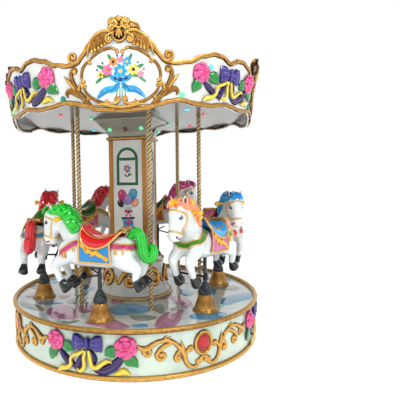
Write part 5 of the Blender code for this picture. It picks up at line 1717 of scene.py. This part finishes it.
carving = {  # right half, from the pediment's middle: right, height; then half widths and the stem's settings
    "frame": (  # the medallion's frame, and the shell under it
        (((0.030, 2.166), (0.054, 2.176), (0.115, 2.164), (0.171, 2.132), (0.204, 2.106)),
         (0.007, 0.010, 0.010, 0.009, 0.008), {"folds": 2, "lift": 0.003}),
        (((0.054, 2.176), (0.030, 2.166), (0.018, 2.162)), (0.009, 0.008, 0.007),
         {"spiral": ((0.020, 2.150), 0.85, 0.2), "lift": 0.003}),
        (((0.190, 2.118), (0.206, 2.104), (0.204, 2.094)), (0.008, 0.008, 0.007),
         {"spiral": ((0.194, 2.094), -0.6, 0.25), "lift": 0.004}),
        (((0.196, 2.092), (0.214, 2.100), (0.249, 2.063), (0.2625, 2.012), (0.255, 1.978)),
         (0.007, 0.010, 0.011, 0.010, 0.009), {"folds": 2, "lift": 0.003}),
        (((0.262, 2.000), (0.256, 1.984), (0.250, 1.976)), (0.009, 0.008, 0.007),
         {"spiral": ((0.248, 1.984), -0.7, 0.25), "lift": 0.004}),
        (((0.250, 1.962), (0.254, 1.948), (0.232, 1.905), (0.182, 1.866), (0.115, 1.842), (0.060, 1.830)),
         (0.007, 0.010, 0.011, 0.011, 0.010, 0.010), {"folds": 2, "lift": 0.003}),
        (((0.257, 1.955), (0.247, 1.962), (0.240, 1.956)), (0.008, 0.007, 0.006),
         {"spiral": ((0.244, 1.948), 0.6, 0.3), "lift": 0.004}),
        (((0.115, 1.842), (0.080, 1.834), (0.048, 1.834), (0.016, 1.850)), (0.010, 0.011, 0.010, 0.009),
         {"spiral": ((0.030, 1.863), -0.95, 0.2), "lift": 0.006}),
        (((0.0, 1.812), (0.060, 1.818), (0.130, 1.832), (0.190, 1.830)), (0.012, 0.011, 0.009, 0.004), {"lift": 0.010}),
        (((0.082, 1.842), (0.100, 1.856), (0.092, 1.866)), (0.007, 0.008, 0.004), {"lift": 0.006})),
    "spray": (  # leaves beside the medallion
        (((0.196, 1.820), (0.235, 1.852), (0.270, 1.892), (0.306, 1.932), (0.330, 1.984), (0.339, 2.028),
          (0.326, 2.060)), (0.008, 0.018, 0.021, 0.019, 0.018, 0.016, 0.013),
         {"spiral": ((0.310, 2.050), 0.65, 0.3), "folds": 2, "lift": 0.003}),
        (((0.268, 1.886), (0.288, 1.912), (0.286, 1.946), (0.274, 1.966)), (0.009, 0.013, 0.012, 0.010),
         {"spiral": ((0.264, 1.956), 0.6, 0.3), "lift": 0.004}),
        (((0.300, 1.922), (0.330, 1.952), (0.356, 1.988), (0.395, 2.028)), (0.012, 0.014, 0.012, 0.002),
         {"lift": 0.005}),
        (((0.262, 1.880), (0.300, 1.902), (0.338, 1.924), (0.366, 1.932), (0.386, 1.914), (0.378, 1.892)),
         (0.009, 0.016, 0.018, 0.018, 0.016, 0.005), {"folds": 2, "lift": 0.003}),
        (((0.240, 1.862), (0.222, 1.878), (0.212, 1.896)), (0.010, 0.010, 0.003), {"lift": 0.003})),
    "feathers": ((0.090, 2.200), (0.112, 2.190), (0.134, 2.178), (0.156, 2.168), (0.178, 2.156)),  # their tips
    "featherRoot": (0.052, 2.262), "featherGap": 0.006, "featherLift": 0.0016,
    "above": (  # over the feathers, then the volute where the pediment's line ends, then a curl at the dip
        (((0.030, 2.250), (0.070, 2.274), (0.120, 2.268), (0.165, 2.236), (0.196, 2.184), (0.214, 2.126)),
         (0.006, 0.010, 0.011, 0.010, 0.009, 0.003), {"lift": 0.010}),
        (((0.030, 2.262), (0.052, 2.258), (0.078, 2.242), (0.084, 2.222)), (0.008, 0.009, 0.009, 0.009),
         {"spiral": ((0.064, 2.224), -1.1, 0.15), "lift": 0.014}),
        (((0.262, 2.130), (0.280, 2.106), (0.306, 2.100), (0.332, 2.112)), (0.006, 0.010, 0.012, 0.012),
         {"spiral": ((0.308, 2.134), 1.05, 0.15), "lift": 0.006, "tall": 1.3}),
        (((0.690, 2.170), (0.735, 2.166), (0.765, 2.146)), (0.006, 0.010, 0.009), {"lift": 0.008})),
    "cup": ((-0.043, 2.278), (-0.042, 2.250), (-0.024, 2.221), (0, 2.212), (0.024, 2.221), (0.042, 2.250),
            (0.043, 2.278)),
    "cupLeaves": ((-90, 0.044), (-62, 0.038), (-118, 0.038)),  # degrees, reach
    "balls": (  # in the cup, over it, and the knob: centre, half sizes, steps, sides, tone
        ((0, 2.258, -0.004), (0.040, 0.042, 0.028), 10, 20, 0.05),
        ((0, 2.312, -0.010), (0.040, 0.036, 0.026), 10, 20, 0.2),
        ((0, 2.3465, -0.004), (0.0235, 0.0225, 0.023), 10, 18, 0.95)),
    "crest": (  # volutes and leaves beside the knob
        (((0.012, 2.286), (0.018, 2.318), (0.036, 2.342), (0.054, 2.336)), (0.008, 0.013, 0.015, 0.012),
         ((0.046, 2.324), -0.7, 0.35), {"lift": 0.008, "tall": 1.1}),
        (((0.020, 2.352), (0.042, 2.336), (0.062, 2.312)), (0.009, 0.013, 0.008), None, {"lift": 0.002}),
        (((0.014, 2.292), (0.036, 2.304), (0.056, 2.300)), (0.008, 0.012, 0.011), ((0.052, 2.289), -0.8, 0.3),
         {"lift": 0.012}),
        (((0.002, 2.284), (0.018, 2.296), (0.034, 2.288), (0.042, 2.272)), (0.006, 0.010, 0.010, 0.007), None,
         {"lift": 0.026}),
        (((0.040, 2.266), (0.058, 2.274), (0.076, 2.262)), (0.008, 0.010, 0.008), None, {"lift": 0.006})),
}


def pedimentHalf():  # the right half of a pediment's gold carving
    form = Form()
    for points, widths, settings in carving["frame"] + carving["spray"]:
        stem(form, points, widths, **settings)
    for k, (u, v) in enumerate(carving["feathers"]):  # a wing that hangs under the top moulding
        x, y = carving["featherRoot"][0] + carving["featherGap"] * k, carving["featherRoot"][1]
        lift = carving["featherLift"] * k
        middle = (x + (u - x) * 0.72 + 0.014, y - (y - v) * 0.30)
        stem(form, [(x, y), middle, (u, v)], (0.006, 0.012, 0.014, 0.0115), lift=0.003 + lift, folds=2, count=16)
        ball(form, (u, v, 0.005 + lift), (0.0115, 0.0125, 0.010), None, 6, 12, 0.9)
    for points, widths, settings in carving["above"]:
        stem(form, points, widths, **settings)
    return form


def crestForm():  # cup of leaves, volutes and knob that crown a pediment, carved on both sides
    form = Form()
    inCup, overCup, knob = carving["balls"]
    centre, size, *rest = inCup
    ball(form, centre, size, None, *rest)
    cup = flat(smoothLine(carving["cup"], 40), 0.012)
    lay(form, cup, swell(0.006, 0.0095, 40), 0.016, sides=14, under=1.2)
    for degrees, reach in carving["cupLeaves"]:
        way = np.array((math.cos(math.radians(degrees)), math.sin(math.radians(degrees))))
        line = [way * far + (0, height) for far, height in ((0.004, 2.284), (0.022, 2.276), (reach, 2.272))]
        line = flat(smoothLine(line, 16), ease(0.034, 0.022, 16))
        lay(form, line, swell(0.004, 0.010, 16), 0.009, sides=12, under=0.8)
    for centre, size, *rest in (overCup, knob):
        ball(form, centre, size, None, *rest)
    for side in (-1, 1):
        for points, widths, spiral, settings in carving["crest"]:
            if spiral:
                (x, y), windings, tight = spiral
                spiral = ((side * x, y), side * windings, tight)
            stem(form, [(side * x, y) for x, y in points], widths, spiral=spiral, **settings)
    return form


medallion = {  # right, height on the pediment's face
    "outline": ((0.0, 2.158), (0.054, 2.170), (0.115, 2.158), (0.171, 2.126), (0.200, 2.104), (0.249, 2.060),
                (0.258, 2.010), (0.252, 1.966), (0.250, 1.945), (0.230, 1.908), (0.182, 1.870), (0.115, 1.847),
                (0.048, 1.838), (0.0, 1.836)),
    "panel": ((1.0, -0.001), (1.0, 0.0010), (0.97, 0.0012), (0.5, 0.0012), (0.1, 0.0012)),  # share, height
    "paints": {"blue": ("3fb0de", "2389bd"), "deep": ("2b4a8c", "1a3166"), "pink": ("ea86b4", "cf5c94"),
               "yellow": ("f2d968", "dcb43c"), "orange": ("e39a3c", "c27420"), "green": ("4f9c6a", "2f7448"),
               "ink": ("3c2a30", "241820")},
    "ribbon": ((0.008, 1.968), (0.040, 1.930), (0.096, 1.922), (0.140, 1.892), (0.158, 1.874)),
    "ribbonFold": ((0.014, 1.960), (0.050, 1.926), (0.100, 1.908), (0.146, 1.880)),
    "stalks": (((0.018, 1.945), (0.030, 1.882)), ((0.006, 1.940), (0.008, 1.872))),
    "leaves": ((0.092, 2.010, 0.038, 0.013, -12), (0.118, 2.060, 0.036, 0.012, 28), (0.060, 2.110, 0.034, 0.011, 62),
               (0.140, 1.985, 0.030, 0.010, -34)),
    "sideFlowers": (  # centre, size, petals and heart on the left, on the right, petal count, first petal's turn
        (0.084, 2.044, 0.036, ("pink", "orange"), ("yellow", "ink"), 6, 10),
        (0.130, 2.018, 0.024, ("yellow", "ink"), ("pink", "orange"), 5, 20),
        (0.044, 2.092, 0.029, ("orange", "ink"), ("blue", "yellow"), 6, 30)),
    "buds": ((0.150, 2.048), (0.112, 2.088), (0.016, 2.128)),
}


def flower(forms, u, v, size, petals, heart, many, phase=0.0):
    for k in range(many):
        a = 360 / many * k + phase
        c, s = math.cos(math.radians(a)), math.sin(math.radians(a))
        petal = (u + c * size * 0.58, v + s * size * 0.58, size * 0.46, size * 0.32, a, 14)
        dab(forms[petals], 0.0006 + 0.0002 * (k % 2), *petal)
    dab(forms[heart], 0.0014, u, v, size * 0.30, size * 0.30, 0, 14)


def paintBouquetSide(forms, side):
    line = [(side * x, y) for x, y in medallion["ribbon"]]
    paintedLine(forms["blue"], line, swell(0.009, 0.026, 30, 0.7) * ease(1.0, 0.75, 30))
    paintedLine(forms["deep"], [(side * x, y) for x, y in medallion["ribbonFold"]], 0.0024, 0.0005)
    dab(forms["blue"], 0.0008, side * 0.036, 1.990, 0.036, 0.019, side * 24, 24)
    dab(forms["deep"], 0.0014, side * 0.034, 1.990, 0.017, 0.007, side * 24, 16)
    for (u, v), (a, b) in medallion["stalks"]:
        stalk = [(side * u, v), (side * (u * 0.4 + a * 0.6), (v + b) / 2), (side * a, b)]
        paintedLine(forms["green"], stalk, 0.0032)
    for u, v, a, b, turn in medallion["leaves"]:
        dab(forms["green"], 0.0, side * u, v, a, b, side * turn, 20)
    for u, v, size, left, right, many, phase in medallion["sideFlowers"]:
        flower(forms, side * u, v, size, *(left if side < 0 else right), many, phase)
    for u, v in medallion["buds"]:
        dab(forms["deep"], 0.0006, side * u, v, 0.0065, 0.0065, 0, 12)
        stalk = [(side * u, v), (side * u * 0.85, v - 0.024), (side * u * 0.7, v - 0.046)]
        paintedLine(forms["green"], stalk, 0.0016, 0.0001)


def buildMedallions():  # a painted bouquet tied with a wide blue ribbon: a stock fairground design
    forms, paints = paintedLayers(medallion["paints"], "medallionPaint")
    for side in (-1, 1):
        paintBouquetSide(forms, side)
    flower(forms, 0.0, 2.036, 0.044, "blue", "yellow", 7)
    flower(forms, 0.004, 2.104, 0.022, "pink", "orange", 5, 90)
    dab(forms["deep"], 0.0018, 0, 1.984, 0.015, 0.014, 0, 18)
    for key, form in forms.items():
        form = bent(form, machine["crownPhase"], crownRadius, w=0.0012)
        repeated(f"medallion_painting_{key}", form, machine["quarters"], paints[key], "turntable", None)
    right = np.array(medallion["outline"])
    outline = np.vstack([right, (right * (-1, 1))[::-1][1:-1]])
    panel = Form().loft([flat(outline * share + outline.mean(0) * (1 - share), height)
                         for share, height in medallion["panel"]])
    panel = bent(panel, machine["crownPhase"], crownRadius)
    repeated("medallion_panels", panel, machine["quarters"], panelWhite, "turntable", "white_gelcoat")


def buildCrownOrnament():
    profile = [(max(radius, 0.0005), crown["finialTop"] - drop) for radius, drop in crown["finial"]]
    # painted light: lighter at the top, darker lower down
    post = Form().loft(turnedForm(profile, 64), np.linspace(0.9, 0.5, len(profile))[:, None])
    piece("finial_dome", post, gold, "turntable", "gold_paint", ["canopy_finial"])
    whole = bothHalves(pedimentHalf()).add(crestForm(), placed(w=-crown["crestSetBack"]))
    whole = bent(whole, machine["crownPhase"], crownRadius)
    repeated("crown_gold_carving", whole, machine["quarters"], gold, "turntable", "gold_paint")
    for name, (form, paint) in garlandForms(crown["garlandStretch"]).items():
        form = bent(form, machine["crownPhase"] + machine["betweenQuarters"], crownRadius, v=crown["bowHeight"])
        repeated(f"crown_{name}", form, machine["quarters"], paint, "turntable", "white_gelcoat")


crownWhite = gelcoat("crownGelcoat", "e8eae6", "d8dbd5")
panelWhite = gelcoat("medallionPanelEnamel", "eaf0f2", "dde6ea", gloss=0.1)
buildCrownWall()
buildMedallions()
buildCrownOrnament()
print("crown built")


# Lamp lenses on the crown, the ceiling and the capital


lamps = {
    "crown": (  # degrees from a pediment's middle, height, colour: the two garlands in front, then the same behind
        (24.3, 2.049, "peach"), (34.8, 2.087, "cyan"), (50.4, 2.092, "green"), (65.4, 2.063, "clear"),
        (23.0, 1.894, "green"), (41.9, 1.890, "clear"), (66.5, 1.890, "teal"),
        (-24.0, 2.072, "clear"), (-33.2, 2.088, "clear"), (-47.9, 2.099, "cyan"), (-65.4, 2.063, "peach"),
        (-23.1, 1.888, "teal"), (-40.7, 1.891, "clear"), (-66.5, 1.890, "green")),
    "ceiling": ((-54.3, 0.698, "red"), (58.5, 0.674, "red"), (32.3, 0.755, "cyan"), (-54.3, 0.422, "green")),
    "capital": ((-0.140, "green"), (0.0, "dark"), (0.140, "green")),  # aside on each face
    "capitalHeight": 1.766, "capitalOut": 0.0355, "capitalTilt": -0.55, "sunk": 0.001, "proud": 0.002,
    "radius": 0.0195, "dome": 0.65, "glow": 0.8, "unlit": ("dark", "teal"),
    "colours": {"peach": "f6c9a4", "cyan": "35c4d8", "green": "3ecf8a", "clear": "f2f4ee", "teal": "1f8f84",
                "red": "d62a3c", "dark": "6c1f2c"},
}


def acrylicLens(colour):
    # injection-moulded acrylic lens, tinted, with the lamp behind it lit
    tint = lamps["colours"][colour]
    lens, tree, shader = newMaterial(f"{colour}AcrylicLens", tint, 0.08, coat=0.8)
    glow = ramp(tree, patternNoise(tree, 7), ((0.45, tint), (0.8, "ffffff")))
    tree.links.new(glow, shader.inputs["Emission Color"])
    shader.inputs["Emission Strength"].default_value = 0.0 if colour in lamps["unlit"] else lamps["glow"]
    return lens


def lampPlaces():  # colour by colour, where each lens sits and which way it faces
    rows = {key: [] for key in lamps["colours"]}
    for half in (0, 180):
        for degrees, height, colour in lamps["crown"]:
            azimuth = machine["crownPhase"] + degrees + half
            place = around(azimuth, float(crownRadius(height)) + lamps["proud"], height)
            rows[colour].append((place, around(azimuth, 1)))
        for azimuth, radius, colour in lamps["ceiling"]:
            rows[colour].append((around(azimuth + half, radius, machine["ceilingBottom"] - lamps["sunk"]), (0, 0, -1)))
    for quarter in range(4):
        facing = around(column["turn"] + 90 * quarter, 1, lamps["capitalTilt"])
        for u, colour in lamps["capital"]:
            place = onFace(quarter, lamps["capitalOut"])(np.array([(u, lamps["capitalHeight"], 0.0)]))[0]
            rows[colour].append((place, facing))
    return rows


def buildLamps():
    for colour, places in lampPlaces().items():
        name, lens = f"lamps_{colour}", acrylicLens(colour)
        start = bpy.data.meshes.new(name)
        start.from_pydata([tuple(place) for place, _ in places], [], [])
        start.attributes.new("facing", "FLOAT_VECTOR", "POINT").data.foreach_set(
            "vector", np.array([facing for _, facing in places], np.float32).ravel())
        values = {"Radius": lamps["radius"], "Dome": lamps["dome"], "Material": lens}
        piece(name, grown(name, trees["lamp"], values, start), lens, "turntable")


buildLamps()
repaint("canopy_ceiling", ceilingGrey)
print("lamps built")


# Camera, light and floor


view = {  # metres, degrees and millimetres
    "place": (0.0, -3.718, 1.360), "down": 3.2, "aside": 0.72, "roll": -0.92, "lens": 37.29, "shift": 0.1525,
    "sensor": 36,
}


def buildCamera():
    p, y, r = (math.radians(view[key]) for key in ("down", "aside", "roll"))
    ahead = Vector((math.sin(y) * math.cos(p), math.cos(y) * math.cos(p), -math.sin(p)))
    right = Vector((math.cos(y), -math.sin(y), 0))
    up = right.cross(ahead)
    acrossView = math.cos(r) * right + math.sin(r) * up
    upView = -math.sin(r) * right + math.cos(r) * up
    camera = newObject("camera", bpy.data.cameras.new("camera"))
    turned = Matrix((acrossView, upView, -ahead)).transposed().to_4x4()
    camera.matrix_world = Matrix.Translation(view["place"]) @ turned
    camera.data.lens = view["lens"]
    camera.data.sensor_width = view["sensor"]
    camera.data.shift_x = view["shift"]
    bpy.context.scene.camera = camera


studio = {
    "softboxes": (  # name, place, size, watts
        ("keyLight", (3.0, -3.6, 4.0), 1.6, 40), ("fillLight", (-3.4, -3.2, 3.2), 1.6, 10),
        ("topLight", (0.5, 1.5, 5.2), 2.2, 54), ("frontLight", (0.6, -5.5, 1.6), 0.8, 10),
        ("sparkLeft", (-1.3, -3.0, 3.6), 0.16, 18), ("sparkRight", (1.5, -3.3, 3.4), 0.16, 20),
        ("sparkHigh", (0.1, -2.0, 4.4), 0.2, 20)),
    "aim": (0, 0, 1.1),
    "room": ((0.0, "ffffff"), (0.38, "ffffff"), (0.50, "8f9399"), (0.66, "6e7176"), (1.0, "a2a6ab")),
    "gamma": 0.86, "floorHalf": 9, "floorGlow": 0.62,  # a light table, which keeps the floor white
}


def buildLight():
    world = bpy.data.worlds.new("studio")
    world.use_nodes = True
    bpy.context.scene.world = world
    bpy.context.scene.view_settings.view_transform = "Standard"  # keeps the lacquer colours as mixed
    bpy.context.scene.view_settings.gamma = studio["gamma"]  # a little more contrast, as in a bright showroom
    tree = world.node_tree
    background = tree.nodes["Background"]
    place = addNode(tree, "ShaderNodeTexCoord").outputs["Generated"]
    direction = addNode(tree, "ShaderNodeSeparateXYZ", {"Vector": place}).outputs
    tree.links.new(ramp(tree, direction["Z"], studio["room"]), background.inputs["Color"])
    background.inputs["Strength"].default_value = 1.0
    for name, place, size, watts in studio["softboxes"]:
        light = bpy.data.lights.new(name, "AREA")
        light.size = size
        light.energy = watts
        obj = newObject(name, light)
        obj.location = place
        obj.rotation_euler = (Vector(studio["aim"]) - Vector(place)).to_track_quat("-Z", "Y").to_euler()


def buildFloor():
    mesh = bpy.data.meshes.new("floor")
    half = studio["floorHalf"]
    mesh.from_pydata([(-half, -half, 0), (half, -half, 0), (half, half, 0), (-half, half, 0)], [], [(0, 1, 2, 3)])
    floor = newObject("floor", mesh)
    material, _, shader = newMaterial("studioFloor", "f4f4f3", 0.6)
    shader.inputs["Emission Color"].default_value = toLinear("ffffff")
    shader.inputs["Emission Strength"].default_value = studio["floorGlow"]
    mesh.materials.append(material)


buildCamera()
buildLight()
buildFloor()
print("stage built")
